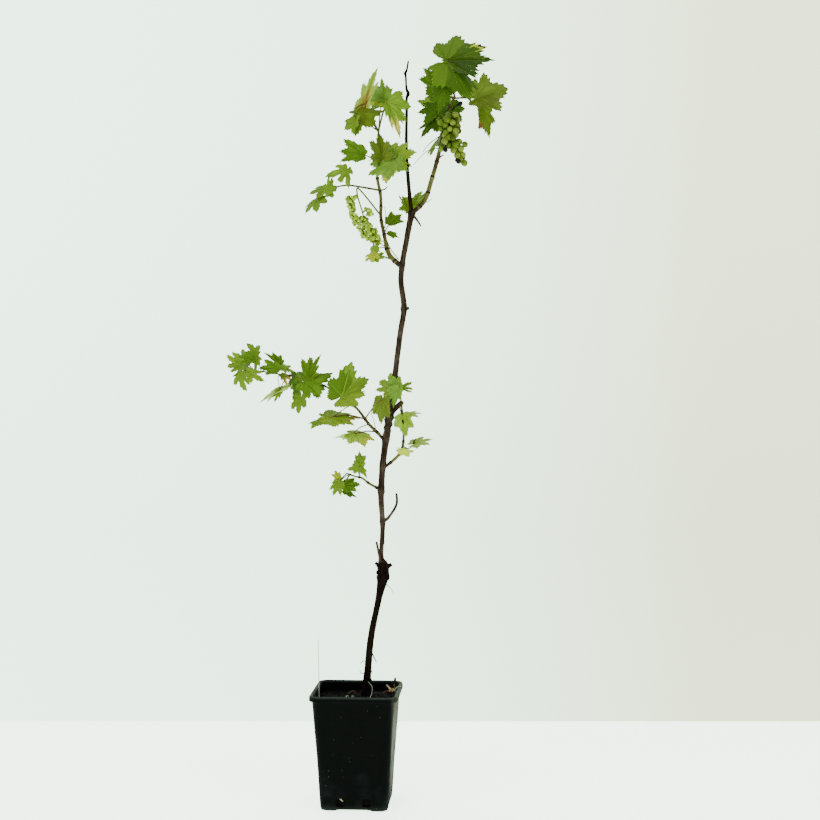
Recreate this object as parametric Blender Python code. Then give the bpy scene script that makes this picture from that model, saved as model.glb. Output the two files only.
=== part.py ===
"""Potted moscato grapevine: a young grafted vine in a square nursery pot.

Sizes are in millimetres and become metres when a mesh is made. The origin is the
centre of the pot's flat underside, +Z is up, and the vine is looked at from -Y.
"""

import math
import random

import bmesh
import bpy
from mathutils import Matrix, Vector
from mathutils.bvhtree import BVHTree

MM = 0.001
GAP = 0.3  # clearance between neighbouring solids
SEED = 11

# Pot: a square tapered wall with round corners and a rolled lip
POT_HEIGHT = 193
POT_BASE = 112  # width across the flats at the foot
POT_TOP = 138  # width of the wall just under the lip
POT_LIP = 148  # width across the lip
LIP_DEPTH = 7
LIP_BEVEL = 1.5
POT_WALL = 2.2
POT_FLOOR = 3
POT_CORNER = 13  # corner radius of the wall
POT_TURN = -4  # degrees that the pot is turned about its upright axis
CORNER_STEPS = 4
DRAIN_SIDE = 13  # square drain holes, two low in each wall
DRAIN_APART = 43
DRAIN_UP = 8
ARCH_WIDTH = 62  # shallow arch under each wall, between the corner feet
ARCH_HEIGHT = 2.5
ARCH_REACH = 14
SOIL_TOP = 182

# Every x and z below is read where the line of sight from this point crosses the
# upright plane y = 0, and y is how far behind that plane the point really lies
EYE = Vector((90, -2450, 708))

# Trunk and limbs: x, y, z and radius at a few points of a smooth curve
TRUNK = (
    (16, 12, 186, 8.6),
    (18, 12, 222, 6.0),
    (25, 11, 285, 5.4),
    (37, 9, 345, 5.3),
    (44, 7, 383, 9.4),
    (44, 7, 402, 8.8),
    (41, 6, 418, 4.0),
    (44, 4, 467, 3.9),
    (41, 1, 530, 4.9),
    (47, 0, 600, 5.2),
    (59, 1, 680, 4.9),
    (72, 2, 785, 4.5),
    (80, 1, 838, 4.6),
    (75, 0, 890, 4.5),
    (85, 0, 958, 4.5),
    (93, 0, 997, 5.2),
)
LIMBS = {
    "leader_dead": (
        (92, 1, 1002, 3.2),
        (88, 2, 1040, 3.2),
        (84, 1, 1110, 2.5),
        (88, 0, 1185, 2.2),
        (84, 0, 1225, 1.8),
        (88, 0, 1252, 1.3),
    ),
    "bough_right": (
        (96, -2, 999, 4.0),
        (115, -4, 1019, 3.7),
        (126, -6, 1052, 3.7),
        (138, -8, 1095, 3.4),
    ),
    "bough_left": ((74, -3, 909, 3.5), (59, -7, 922, 3.0), (52, -8, 935, 3.0)),
    "bough_long": ((45, -3, 616, 2.6), (35, -7, 627, 2.4), (20, -11, 642, 2.2)),
    "bough_side": ((50, -2, 571, 2.2), (70, -8, 588, 1.9), (77, -9, 602, 1.7)),
    "bough_low": ((39, -4, 531, 2.0), (21, -9, 541, 1.7), (9, -12, 550, 1.5)),
    "spur_dead": (
        (45, 3, 477, 2.4),
        (54, 3, 484, 2.1),
        (67, 4, 505, 1.8),
        (67, 4, 523, 1.5),
    ),
    "stub_pruned": ((54, 1, 654, 4.6), (64, 0, 667, 4.5), (75, -1, 677, 4.3)),
}
LIMB_STEP = 11  # between the rings of a limb
TRUNK_STEP = 20

# Stumps of cut shoots, and burrs round the graft: height on the trunk, bearing
# from +X towards +Y, length and radius, and rise of the axis
STUMPS = (
    (404, 15, 15, 3.2, 50),
    (402, 175, 14, 2.6, 35),
    (398, 265, 12, 3.4, 30),
    (403, 80, 13, 3.0, 40),
    (392, 200, 12, 3.0, 10),
    (384, 330, 12, 3.4, -10),
    (441, 185, 9, 2.0, 55),
    (836, 0, 9, 2.6, 10),
)

# Foliage masses. Each has one stem that goes on from a limb, or from the mass
# before it on the same shoot, with side twigs where they are given. A leaf is the
# place where its stalk meets the blade, the length from there to the tip, and three
# angles: aim, the way the tip points from +X towards +Z, roll about the midrib,
# where 0 turns the upper face to -Y, and fold, how far each half is raised.
MASSES = {
    "foliage_right_low": {
        "on": "bough_right",
        "stem": ((138, -8, 1095, 3.0), (145, -8, 1130, 2.6), (152, -7, 1165, 2.2)),
        "leaves": (
            (146, -23, 1168, 38, 184, 55, 5),
            (136, -26, 1152, 36, 204, 62, 0),
            (137, 12, 1122, 36, 226, 76, -8),
            (120, -12, 1175, 23, 142, 40, 40),
            (140, 40, 1173, 46, 120, 20, 20),
            (160, 25, 1174, 34, 262, 0, 30),
        ),
        "bunches": (
            {
                "arm": (
                    (150, -7, 1161),
                    (156, -34, 1153),
                    (158, -44, 1128),
                    (168, -42, 1106),
                    (182, -38, 1082),
                ),
                "count": 28,
                "size": 9.6,
                "spread": (19, 7),
                "bare": 0.14,
            },
            {
                "arm": ((158, -44, 1128), (150, -44, 1116), (145, -43, 1104)),
                "count": 5,
                "size": 9.4,
                "spread": (7, 5),
                "bare": 0.3,
            },
            {
                "arm": ((160, -43, 1122), (172, -46, 1117), (181, -46, 1112)),
                "count": 5,
                "size": 9.6,
                "spread": (7, 4),
                "bare": 0.3,
            },
        ),
    },
    "foliage_right_top": {
        "on": "foliage_right_low",
        "stem": ((152, -7, 1165, 2.1), (158, -6, 1179, 2.0), (165, -5, 1192, 1.7)),
        "twigs": (((164, -5, 1190, 1.2), (184, -3, 1191, 1.1), (206, -1, 1190, 1.0)),),
        "leaves": (
            (147, -30, 1250, 86, 9, -38, 10),
            (154, -80, 1244, 68, 306, 50, 14),
            (146, -33, 1192, 64, 128, 56, 4),
            (147, -74, 1204, 42, 255, 34, 30),
            (170, 46, 1244, 42, 75, 0, 30),
            (207, -25, 1191, 57, 18, -27, 7),
            (207, 5, 1184, 57, 284, 6, 58),
        ),
    },
    "foliage_left_foot": {
        "on": "bough_left",
        "stem": ((52, -8, 935, 2.6), (47, -10, 958, 2.4), (41, -10, 989, 2.2)),
        "leaves": (
            (30, -14, 940, 22, 262, 58, 0),
            (29, -30, 927, 20, 212, 52, 0),
            (31, -18, 922, 20, 35, -40, 10),
            (30, -22, 950, 18, 5, -66, 5),
            (52, -14, 976, 36, 41, -50, 10),
            (52, -19, 965, 22, 335, -45, 10),
        ),
    },
    "foliage_left_arm": {
        "on": "foliage_left_foot",
        "stem": ((41, -10, 989, 2.1), (41, -10, 1010, 2.0), (40, -10, 1030, 1.9)),
        "twigs": (
            ((40, -10, 1025, 1.2), (8, -18, 1040, 1.1), (-18, -20, 1043, 1.0), (-48, -14, 1038, 0.9)),
        ),
        "leaves": (
            (-12, -26, 1082, 53, 236, 50, 2),
            (-50, -16, 1038, 33, 190, 58, -2),
            (-50, -37, 1037, 25, 62, 52, 24),
            (-66, -24, 1020, 33, 222, 60, -5),
        ),
        "bunches": (
            {
                "arm": (
                    (38, -14, 994),
                    (7, -22, 1034),
                    (-1, -28, 1027),
                    (6, -29, 1000),
                    (14, -29, 978),
                    (22, -27, 954),
                ),
                "count": 26,
                "size": 6,
                "spread": (6, 14),
                "bare": 0.58,
            },
            {
                "arm": ((4, -29, 1006), (-9, -32, 1008), (-10, -32, 994), (-3, -31, 974), (8, -30, 966)),
                "count": 20,
                "size": 6,
                "spread": (9, 6),
                "bare": 0.2,
            },
        ),
    },
    "foliage_left_middle": {
        "on": "foliage_left_arm",
        "stem": ((40, -10, 1030, 1.8), (35, -10, 1056, 1.8), (34, -9, 1088, 1.7)),
        "leaves": (
            (16, -34, 1098, 46, 170, 54, 2),
            (62, -38, 1092, 43, 8, -34, -4),
            (66, -56, 1089, 52, 235, 44, 4),
            (50, -8, 1092, 31, 76, 40, 30),
            (37, -42, 1090, 48, 95, 16, 46),
            (58, 34, 1084, 40, 30, -20, 20),
        ),
    },
    "foliage_left_top": {
        "on": "foliage_left_middle",
        "stem": ((34, -9, 1088, 1.6), (36, -9, 1110, 1.5), (37, -9, 1134, 1.3)),
        "leaves": (
            (14, 2, 1174, 82, 72, 106, 4),
            (50, 19, 1187, 39, 142, 41, -4),
            (40, -20, 1169, 61, 203, 70, -8),
            (-2, -31, 1150, 25, 262, 40, 30),
            (50, -44, 1186, 66, 292, -60, 14),
            (42, 54, 1186, 38, 150, 20, 20),
        ),
    },
    "foliage_long_near": {
        "on": "bough_long",
        "stem": ((20, -11, 642, 2.1), (0, -15, 668, 1.8), (-26, -17, 687, 1.6)),
        "leaves": (
            (-46, -26, 657, 48, 352, -74, -8),
            (-44, 4, 655, 36, 204, 74, -5),
            (-3, -28, 625, 36, 350, -61, -4),
            (-6, -3, 622, 31, 183, 104, 0),
            (41, -34, 686, 38, 268, 26, 38),
            (-34, -34, 704, 54, 14, -40, -3),
            (-14, 26, 694, 34, 60, -20, 20),
        ),
    },
    "foliage_long_middle": {
        "on": "foliage_long_near",
        "stem": ((-26, -17, 687, 1.5), (-58, -18, 708, 1.4), (-92, -17, 720, 1.3)),
        "leaves": (
            (-80, -26, 726, 41, 95, 14, 40),
            (-88, -28, 718, 46, 330, -30, -5),
            (-92, -24, 688, 35, 250, 52, 0),
            (-97, 10, 710, 40, 246, 56, 24),
            (-80, 18, 710, 34, 340, -20, 20),
        ),
    },
    "foliage_long_far": {
        "on": "foliage_long_middle",
        "stem": ((-92, -17, 720, 1.2), (-132, -17, 726, 1.1), (-176, -14, 733, 0.9)),
        "leaves": (
            (-126, -22, 736, 23, 350, -68, 0),
            (-128, -4, 748, 37, 152, 108, 0),
            (-131, -40, 738, 34, 180, 57, 0),
            (-128, -26, 726, 23, 320, -55, 0),
            (-131, -30, 700, 26, 245, 52, 0),
            (-112, 66, 712, 60, 209, 84, 0),
            (-171, -22, 756, 32, 130, 60, 0),
            (-178, -44, 753, 30, 200, 37, 5),
            (-201, -28, 756, 21, 180, 35, 5),
            (-200, -20, 743, 22, 215, 45, 5),
            (-196, -30, 726, 32, 286, 52, 0),
            (-184, -52, 732, 33, 332, -41, 5),
            (-188, 10, 746, 30, 200, 20, 20),
        ),
    },
    "foliage_side_low": {
        "on": "bough_side",
        "stem": ((77, -9, 602, 1.6), (79, -10, 616, 1.5), (79, -11, 630, 1.4)),
        "twigs": (((77, -10, 606, 1.1), (86, -12, 600, 1.0), (97, -12, 606, 0.9)),),
        "leaves": (
            (100, -13, 609, 29, 20, -68, 4),
            (76, -20, 600, 23, 345, 40, 34),
        ),
    },
    "foliage_side_top": {
        "on": "foliage_side_low",
        "stem": ((79, -11, 630, 1.3), (78, -12, 652, 1.3), (74, -14, 688, 1.1)),
        "leaves": (
            (85, -26, 658, 38, 266, 20, 42),
            (86, -12, 658, 26, 8, -74, 0),
            (80, -4, 656, 22, 208, 72, 0),
            (72, -32, 703, 37, 170, 25, -5),
            (74, -17, 703, 28, 345, -66, 0),
            (60, 24, 702, 32, 150, 20, 20),
        ),
    },
    "foliage_low": {
        "on": "bough_low",
        "stem": ((9, -12, 550, 1.4), (-3, -14, 553, 1.2), (-17, -15, 558, 1.0)),
        "leaves": (
            (7, -20, 574, 28, 97, 24, 40),
            (4, -19, 570, 25, 190, 40, 0),
            (5, -2, 569, 24, 305, -118, 0),
            (-30, -14, 548, 21, 130, 58, 0),
            (-29, -38, 542, 25, 242, 50, 0),
            (-23, -19, 537, 32, 8, -58, 0),
            (-24, -12, 528, 27, 340, -76, 0),
        ),
    },
    "foliage_fork": {
        "on": "trunk",
        "stem": ((89, 4, 982, 1.2), (91, 16, 990, 1.1), (93, 26, 1002, 1.0)),
        "leaves": (
            (97, 30, 1010, 39, 72, -45, 15),
            (84, 19, 1008, 27, 108, 40, 30),
        ),
    },
}
NODE_SPACING = 16  # between the places on a stem that stalks grow from
LEAF_HANG = 22  # degrees that a blade leans forward where its tip points down
BACK_LEAN = -32  # lean of a blade behind its stem
LEAF_THICKNESS = (1.2, 0.022)  # at the stalk: least, and share of the length
STALK_RADIUS = 0.9
# One half of a leaf's edge: angle from the midrib, and reach as a share of the
# length, where a bay's reach is cut back by a share that small leaves have more of
LOBES = ((0, 1.0), (50, 0.88), (102, 0.62), (146, 0.34))
SHOULDERS = ((13, 0.82), (38, 0.76), (65, 0.7), (126, 0.46))
BAYS = ((26, 0.95), (80, 0.8))
STALK_BAY = (172, 0.1)
DEEPEST_CUT = 0.62
CUT_EASE = 0.003  # less of a cut for each millimetre of length
HUB = 0.12  # where the blade's faces meet on the midrib
ARM_RADIUS = (1.4, 1.0)  # of a bunch's arm, from its foot to its tip
BERRY_STALK = 0.5
TRIES = 60  # places tried for each grape
BERRY = 3.5  # radius up to which a grape is a young berry
GRAPE_FACES = (5, 4)  # round and up
BERRY_FACES = (4, 3)

# Linear colour and roughness
BARK = ((0.13, 0.085, 0.06), 0.85)
SHOOT = ((0.22, 0.20, 0.07), 0.6)
LEAF = ((0.16, 0.30, 0.04), 0.5)
PLASTIC = ((0.012, 0.013, 0.015), 0.45)
PEAT = ((0.06, 0.035, 0.02), 0.95)


def seen(x, y, z):
    """The point at depth y that is seen at x, z in the plane y = 0."""
    share = 1 - y / EYE.y
    return Vector((EYE.x + (x - EYE.x) * share, y, EYE.z + (z - EYE.z) * share))


def smooth(knots, steps=6):
    """A Catmull-Rom curve through knots, which are vectors of any length."""
    ends = [knots[0], *knots, knots[-1]]
    found = []
    for before, start, end, after in zip(ends, ends[1:], ends[2:], ends[3:]):
        for i in range(steps):
            t = i / steps
            pull = (end - before) * t + (2 * before - 5 * start + 4 * end - after) * t**2
            found.append(start + 0.5 * (pull + (3 * start - before - 3 * end + after) * t**3))
    return [*found, knots[-1]]


def route_of(knots, spacing):
    """A limb's centreline as evenly spaced (point, radius) pairs."""
    curve = smooth([Vector((*seen(*knot[:3]), knot[3])) for knot in knots])
    route = [(Vector(p[:3]), p[3]) for p in curve]
    count = max(2, round(length_of(route) / spacing))
    return [along(route, i / count) for i in range(count + 1)]


def length_of(route):
    return sum((b - a).length for (a, _), (b, _) in zip(route, route[1:]))


def along(route, share):
    """The point and radius that lie this share of the way along a route."""
    left = share * length_of(route)
    for (start, thick), (end, thin) in zip(route, route[1:]):
        step = (end - start).length
        if left <= step:
            return start.lerp(end, left / step), thick + (thin - thick) * left / step
        left -= step
    return route[-1][0].copy(), route[-1][1]


def square_to(way):
    """A level direction across the one given."""
    side = Vector((1, 0, 0)) if abs(way.x) < 0.8 else Vector((0, 1, 0))
    return (side - way * side.dot(way)).normalized()


def ring(centre, way, side, radius, sides):
    """Points round a centreline that runs along way, the first towards side."""
    over = way.cross(side)
    turns = [2 * math.pi * i / sides for i in range(sides)]
    return [centre + (side * math.cos(a) + over * math.sin(a)) * radius for a in turns]


def tube(route, sides, foot_way=None):
    """A closed tapering tube, whose foot is cut square to foot_way."""
    shape = bmesh.new()
    points = [point for point, _ in route]
    last = len(points) - 1
    side = None
    rings = []
    for i, (centre, radius) in enumerate(route):
        way = (points[min(i + 1, last)] - points[max(i - 1, 0)]).normalized()
        if i == 0 and foot_way:
            way = foot_way
        side = (side - way * side.dot(way)).normalized() if side else square_to(way)
        rings.append([shape.verts.new(p) for p in ring(centre, way, side, radius, sides)])
    join_rings(shape, rings)
    return shape


def join_rings(shape, rings):
    """Walls between rings of vertices, and a cap at each end."""
    count = len(rings[0])
    for low, high in zip(rings, rings[1:]):
        for i in range(count):
            j = (i + 1) % count
            shape.faces.new((low[i], low[j], high[j], high[i]))
    shape.faces.new(list(reversed(rings[0])))
    shape.faces.new(rings[-1])


def tip_way(route):
    return (route[-1][0] - route[-2][0]).normalized()


def seated(route, parent_tree, sides):
    """The route from where its cut foot first clears the solid that it grows from."""
    steps = round(length_of(route) / 0.2)
    for i in range(steps):
        centre, radius = along(route, i / steps)
        way = (along(route, (i + 2) / steps)[0] - centre).normalized()
        rim = ring(centre, way, square_to(way), radius, 3 * sides)
        if all(clear_of_point(p, parent_tree) for p in rim):
            break
    count = len(route) - 1
    return [along(route, (i + (steps - i) * k / count) / steps) for k in range(count + 1)]


def clear_of_point(point, tree):
    """Whether a point lies outside a closed solid and clear of its surface."""
    spot, normal, _, distance = tree.find_nearest(point)
    return distance >= GAP and (point - spot).dot(normal) > 0


def material(name, colour, roughness):
    """A plain Principled material."""
    made = bpy.data.materials.new(name)
    made.use_nodes = True
    shader = made.node_tree.nodes["Principled BSDF"]
    shader.inputs["Base Color"].default_value = (*colour, 1)
    shader.inputs["Roughness"].default_value = roughness
    shader.inputs["Metallic"].default_value = 0
    return made


def new_object(name, shape, look):
    """An object from a bmesh in millimetres, in its own material."""
    bmesh.ops.scale(shape, vec=(MM, MM, MM), verts=shape.verts)
    bmesh.ops.recalc_face_normals(shape, faces=shape.faces)
    mesh = bpy.data.meshes.new(name)
    shape.to_mesh(mesh)
    shape.free()
    mesh.materials.append(material(name, *look))
    made = bpy.data.objects.new(name, mesh)
    bpy.context.scene.collection.objects.link(made)
    return made


def tree_of(thing):
    """The surface of an object, in millimetres, to measure distances from."""
    verts = [v.co / MM for v in thing.data.vertices]
    return BVHTree.FromPolygons(verts, [p.vertices[:] for p in thing.data.polygons])


def fused(name, shapes, look):
    """One solid from overlapping shapes, by a Boolean union on a collection."""
    base, *others = shapes
    body = new_object(name, base, look)
    pieces = bpy.data.collections.new(name + "_pieces")
    for i, shape in enumerate(others):
        piece = new_object(f"{name}_{i}", shape, look)
        bpy.context.scene.collection.objects.unlink(piece)
        pieces.objects.link(piece)
    union = body.modifiers.new("union", "BOOLEAN")
    union.operation = "UNION"
    union.operand_type = "COLLECTION"
    union.collection = pieces
    union.solver = "EXACT"
    graph = bpy.context.evaluated_depsgraph_get()
    joined = bpy.data.meshes.new_from_object(body.evaluated_get(graph))
    joined.materials.clear()
    joined.materials.append(body.data.materials[0])
    body.modifiers.clear()
    body.data = joined
    for piece in list(pieces.objects):
        bpy.data.objects.remove(piece)
    bpy.data.collections.remove(pieces)
    return body


def square_ring(shape, width, radius, z, turn):
    """A level ring of vertices round a square with round corners."""
    half = width / 2 - radius
    verts = []
    for corner, (right, back) in enumerate(((1, 1), (-1, 1), (-1, -1), (1, -1))):
        for i in range(CORNER_STEPS + 1):
            a = math.radians(90 * (corner + i / CORNER_STEPS))
            spot = Vector((right * half + math.cos(a) * radius, back * half + math.sin(a) * radius, z))
            verts.append(shape.verts.new(turn @ spot))
    return verts


def lofted(sizes):
    """A closed solid through level square rings: (width, corner radius, height)."""
    shape = bmesh.new()
    turn = Matrix.Rotation(math.radians(POT_TURN), 3, "Z")
    join_rings(shape, [square_ring(shape, *size, turn) for size in sizes])
    return shape


def wall_width(z):
    """Outer width of the pot's wall at this height."""
    return POT_BASE + (POT_TOP - POT_BASE) * z / (POT_HEIGHT - LIP_DEPTH)


def box_cutter(name, size, place, bearing):
    """A box placed at the pot's front wall and carried round the pot's axis."""
    shape = bmesh.new()
    bmesh.ops.create_cube(shape, size=1)
    bmesh.ops.scale(shape, vec=size, verts=shape.verts)
    bmesh.ops.translate(shape, vec=place, verts=shape.verts)
    turn = Matrix.Rotation(math.radians(bearing + POT_TURN), 4, "Z")
    bmesh.ops.transform(shape, matrix=turn, verts=shape.verts)
    made = new_object(name, shape, PLASTIC)
    made.hide_render = True
    made.display_type = "WIRE"
    return made


def build_pot():
    """The pot's shell with its lip, drain holes and the arches between its feet."""
    under = POT_HEIGHT - LIP_DEPTH
    lip_corner = POT_CORNER + (POT_LIP - POT_TOP) / 2
    inner_top = wall_width(under) - 2 * POT_WALL
    inner_corner = POT_CORNER - POT_WALL
    sizes = (
        (POT_BASE, POT_CORNER, 0),
        (POT_TOP, POT_CORNER, under),
        (POT_LIP, lip_corner, under),
        (POT_LIP, lip_corner, POT_HEIGHT - LIP_BEVEL),
        (POT_LIP - 2 * LIP_BEVEL, lip_corner - LIP_BEVEL, POT_HEIGHT),
        (inner_top + LIP_BEVEL, inner_corner + LIP_BEVEL / 2, POT_HEIGHT),
        (inner_top, inner_corner, under),
        (wall_width(POT_FLOOR) - 2 * POT_WALL, inner_corner, POT_FLOOR),
    )
    pot = new_object("pot", lofted(sizes), PLASTIC)
    drain_wall = wall_width(DRAIN_UP) / 2
    for bearing in (0, 90, 180, 270):
        drain_size = (DRAIN_SIDE, 8 * POT_WALL, DRAIN_SIDE)
        for side in (-1, 1):
            place = (side * DRAIN_APART / 2, -drain_wall, DRAIN_UP + DRAIN_SIDE / 2)
            cut_away(pot, box_cutter(f"drain_{bearing}_{side}", drain_size, place, bearing))
        arch_size = (ARCH_WIDTH, 2 * ARCH_REACH, 2 * ARCH_HEIGHT)
        cut_away(pot, box_cutter(f"arch_{bearing}", arch_size, (0, -POT_BASE / 2, 0), bearing))
    return pot


def cut_away(thing, cutter):
    cut = thing.modifiers.new(cutter.name, "BOOLEAN")
    cut.operation = "DIFFERENCE"
    cut.object = cutter
    cut.solver = "EXACT"


def build_soil():
    """The growing mix that fills the pot to a little under its lip."""
    corner = POT_CORNER - POT_WALL - GAP
    inset = 2 * (POT_WALL + GAP)
    low = POT_FLOOR + GAP
    sizes = [(wall_width(z) - inset, corner, z) for z in (low, SOIL_TOP)]
    return new_object("potting_soil", lofted(sizes), PEAT)


def stump(trunk, height, bearing, length, radius, rise):
    """A stump that stands out of the trunk."""
    hub = min((along(trunk, i / 500)[0] for i in range(500)), key=lambda p: abs(p.z - height))
    bearing, rise = math.radians(bearing), math.radians(rise)
    level = math.cos(rise)
    way = Vector((math.cos(bearing) * level, math.sin(bearing) * level, math.sin(rise)))
    return tube([(hub, radius * 1.1), (hub + way * length, radius * 0.8)], 6)


def build_trunk():
    """The trunk, from a flat cut on the soil over the graft to the fork."""
    route = route_of(TRUNK, TRUNK_STEP)
    foot, radius = route[0]
    route[0] = (Vector((foot.x, foot.y, SOIL_TOP + GAP)), radius)
    stumps = [stump(route, *numbers) for numbers in STUMPS]
    shape = tube(route, 8, foot_way=Vector((0, 0, 1)))
    return fused("trunk", [shape, *stumps], BARK)


def leaf_edge(length, rng):
    """The leaf's edge as (angle, reach) from the stalk, all the way round."""
    cut = DEEPEST_CUT - CUT_EASE * length
    bays = [(angle, reach * (1 - cut)) for angle, reach in BAYS]
    half = sorted([*LOBES, *SHOULDERS, *bays, STALK_BAY])
    sides = [*half, *((-angle, reach) for angle, reach in half[1:])]
    return sorted((angle, reach * rng.uniform(0.93, 1.05)) for angle, reach in sides)


def leaf_axes(aim, lean, roll):
    """Unit vectors along the midrib, across it, and out of the upper face."""
    aim, lean = math.radians(aim), math.radians(lean)
    level = math.cos(lean)
    rib = Vector((math.cos(aim) * level, -math.sin(lean), math.sin(aim) * level))
    face = Vector((0, -1, 0))
    face = (face - rib * face.dot(rib)).normalized()
    face.rotate(Matrix.Rotation(math.radians(roll), 3, rib))
    return rib, face.cross(rib), face


def leaf_lean(place, aim, stem, rng):
    """How far the tip leans towards -Y: it hangs in front of the stem."""
    behind = place.y > stem[0][0].y + 10
    lean = BACK_LEAN if behind else -LEAF_HANG * math.sin(math.radians(aim))
    return lean + rng.uniform(-6, 6)


def blade(place, length, axes, fold, rng):
    """A leaf's blade: a fan of faces above and one below, from stalk to edge."""
    rib, across, face = axes
    fold = math.radians(fold)
    droop = rng.uniform(0.08, 0.2)  # how far the lobes' tips hang
    shape = bmesh.new()
    edge = []
    for angle, reach in leaf_edge(length, rng):
        out, side = math.cos(math.radians(angle)) * reach, math.sin(math.radians(angle)) * reach
        rise = math.sin(fold) * abs(side) - droop * reach * reach
        spot = rib * out + across * side * math.cos(fold) + face * rise
        edge.append(shape.verts.new(place + spot * length))
    half = max(LEAF_THICKNESS[0], LEAF_THICKNESS[1] * length) / 2
    hub = place + (rib - face * droop * HUB) * HUB * length
    above = shape.verts.new(hub + face * half)
    below = shape.verts.new(hub - face * half)
    for vert, after in zip(edge, [*edge[1:], edge[0]]):
        shape.faces.new((above, vert, after))
        shape.faces.new((below, after, vert))
    return shape


def stalk(foot, place, length, axes, rng):
    """The leaf's stalk, bowed between the stem and the inside of the blade."""
    bow = Vector((0, -0.6, 0.8)) * (place - foot).length * rng.uniform(0.06, 0.14)
    radius = STALK_RADIUS * (0.75 + length / 160)
    middle = foot.lerp(place, 0.5) + bow
    return tube([(foot, radius * 1.2), (middle, radius), (place + axes[0] * 2 * radius, radius)], 3)


def stalk_foot(place, lines):
    """The nearest of the places on a stem and its twigs where stalks grow."""
    nodes = []
    for line in lines:
        count = max(2, round(length_of(line) / NODE_SPACING))
        nodes += [along(line, (i + 0.75) / count)[0] for i in range(count)]
    return min(nodes, key=lambda p: (p - place).length + max(0, p.z - place.z))


def clear_of(shape, trees):
    """Whether a bmesh keeps its clearance from the surfaces of other solids."""
    own = BVHTree.FromBMesh(shape)
    for tree in trees:
        if own.overlap(tree) or any(tree.find_nearest(v.co, GAP)[0] for v in shape.verts):
            return False
    return True


def grape(centre, radius):
    shape = bmesh.new()
    around, rows = GRAPE_FACES if radius > BERRY else BERRY_FACES
    bmesh.ops.create_uvsphere(shape, u_segments=around, v_segments=rows, radius=radius)
    bmesh.ops.translate(shape, vec=centre, verts=shape.verts)
    return shape


def arm_route(knots, lines):
    """A bunch's hanging arm, from the nearest point of the lines it may grow from."""
    first = seen(*knots[0])
    places = [along(line, i / 100)[0] for line in lines for i in range(100)]
    foot = min(places, key=lambda p: (p - first).length)
    points = [foot, *(seen(*knot) for knot in knots[1:])]
    thin = (ARM_RADIUS[0] - ARM_RADIUS[1]) / len(points)
    curve = smooth([Vector((*p, ARM_RADIUS[0] - thin * i)) for i, p in enumerate(points)], 2)
    return [(Vector(p[:3]), p[3]) for p in curve]


def grapes(route, bunch, rng, fits):
    """Grapes on short stalks round an arm's hanging end, none touching another."""
    shapes = []
    placed = []
    bare = bunch["bare"]
    wide, narrow = bunch["spread"]
    for _ in range(TRIES * bunch["count"]):
        share = rng.uniform(bare, 1)
        hub, _ = along(route, share)
        reach = wide + (narrow - wide) * (share - bare) / (1 - bare)
        turn = rng.uniform(0, 2 * math.pi)
        way = Vector((math.cos(turn), math.sin(turn), rng.uniform(-0.5, 0.1))).normalized()
        radius = bunch["size"] / 2 * rng.uniform(0.85, 1.1)
        centre = hub + way * reach * rng.uniform(0.5, 1)
        if all((centre - other).length > radius + r + GAP for other, r in placed):
            ball = grape(centre, radius)
            if fits(ball):
                placed.append((centre, radius))
                shapes += [tube([(hub, BERRY_STALK), (centre, BERRY_STALK)], 3), ball]
        if len(placed) == bunch["count"]:
            break
    return shapes


def mass_stem(mass, routes, trees):
    """A mass's stem, which goes on from its limb's tip or stands on the trunk."""
    stem = route_of(mass["stem"], LIMB_STEP)
    if mass["on"] == "trunk":
        stem = seated(stem, trees["trunk"], 5)
        return stem, tube(stem, 5)
    foot_way = tip_way(routes[mass["on"]])
    stem[0] = (routes[mass["on"]][-1][0] + foot_way * GAP, stem[0][1])
    return stem, tube(stem, 5, foot_way)


def build_mass(name, mass, stem, stem_shape, others):
    """A mass: its stem, side twigs, leaves and grapes as one solid."""
    rng = random.Random(f"{SEED} {name}")
    lines = [stem, *(route_of(knots, LIMB_STEP) for knots in mass.get("twigs", ()))]
    shapes = [stem_shape, *(tube(twig, 4) for twig in lines[1:])]
    blades = []

    def fits(shape):
        return clear_of(shape, [*others.values(), *blades])

    for x, y, z, length, aim, roll, fold in mass["leaves"]:
        place = seen(x, y, z)
        axes = leaf_axes(aim, leaf_lean(place, aim, stem, rng), roll)
        foot = stalk_foot(place, lines)
        pieces = [blade(place, length, axes, fold, rng), stalk(foot, place, length, axes, rng)]
        if fits(pieces[0]) and clear_of(pieces[1], others.values()):
            shapes += pieces
            blades.append(BVHTree.FromBMesh(pieces[0]))
    for bunch in mass.get("bunches", ()):
        arm = arm_route(bunch["arm"], lines)
        lines.append(arm)
        shapes.append(tube(arm, 4))
        shapes += grapes(arm, bunch, rng, fits)
    return fused(name, shapes, LEAF)


def main():
    for thing in list(bpy.data.objects):
        bpy.data.objects.remove(thing)
    build_pot()
    build_soil()
    routes = {}
    trees = {"trunk": tree_of(build_trunk())}
    for name, knots in LIMBS.items():
        routes[name] = seated(route_of(knots, LIMB_STEP), trees["trunk"], 7)
        look = SHOOT if name.startswith("bough") else BARK
        trees[name] = tree_of(new_object(name, tube(routes[name], 7), look))
    stem_shapes = {}
    for name, mass in MASSES.items():
        routes[name], stem_shapes[name] = mass_stem(mass, routes, trees)
        trees[name] = BVHTree.FromBMesh(stem_shapes[name])
    for name, mass in MASSES.items():
        others = {key: tree for key, tree in trees.items() if key != name}
        made = build_mass(name, mass, routes[name], stem_shapes[name], others)
        trees[name] = tree_of(made)


main()
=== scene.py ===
import bpy
import numpy as np
from mathutils import Matrix, Vector


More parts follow.
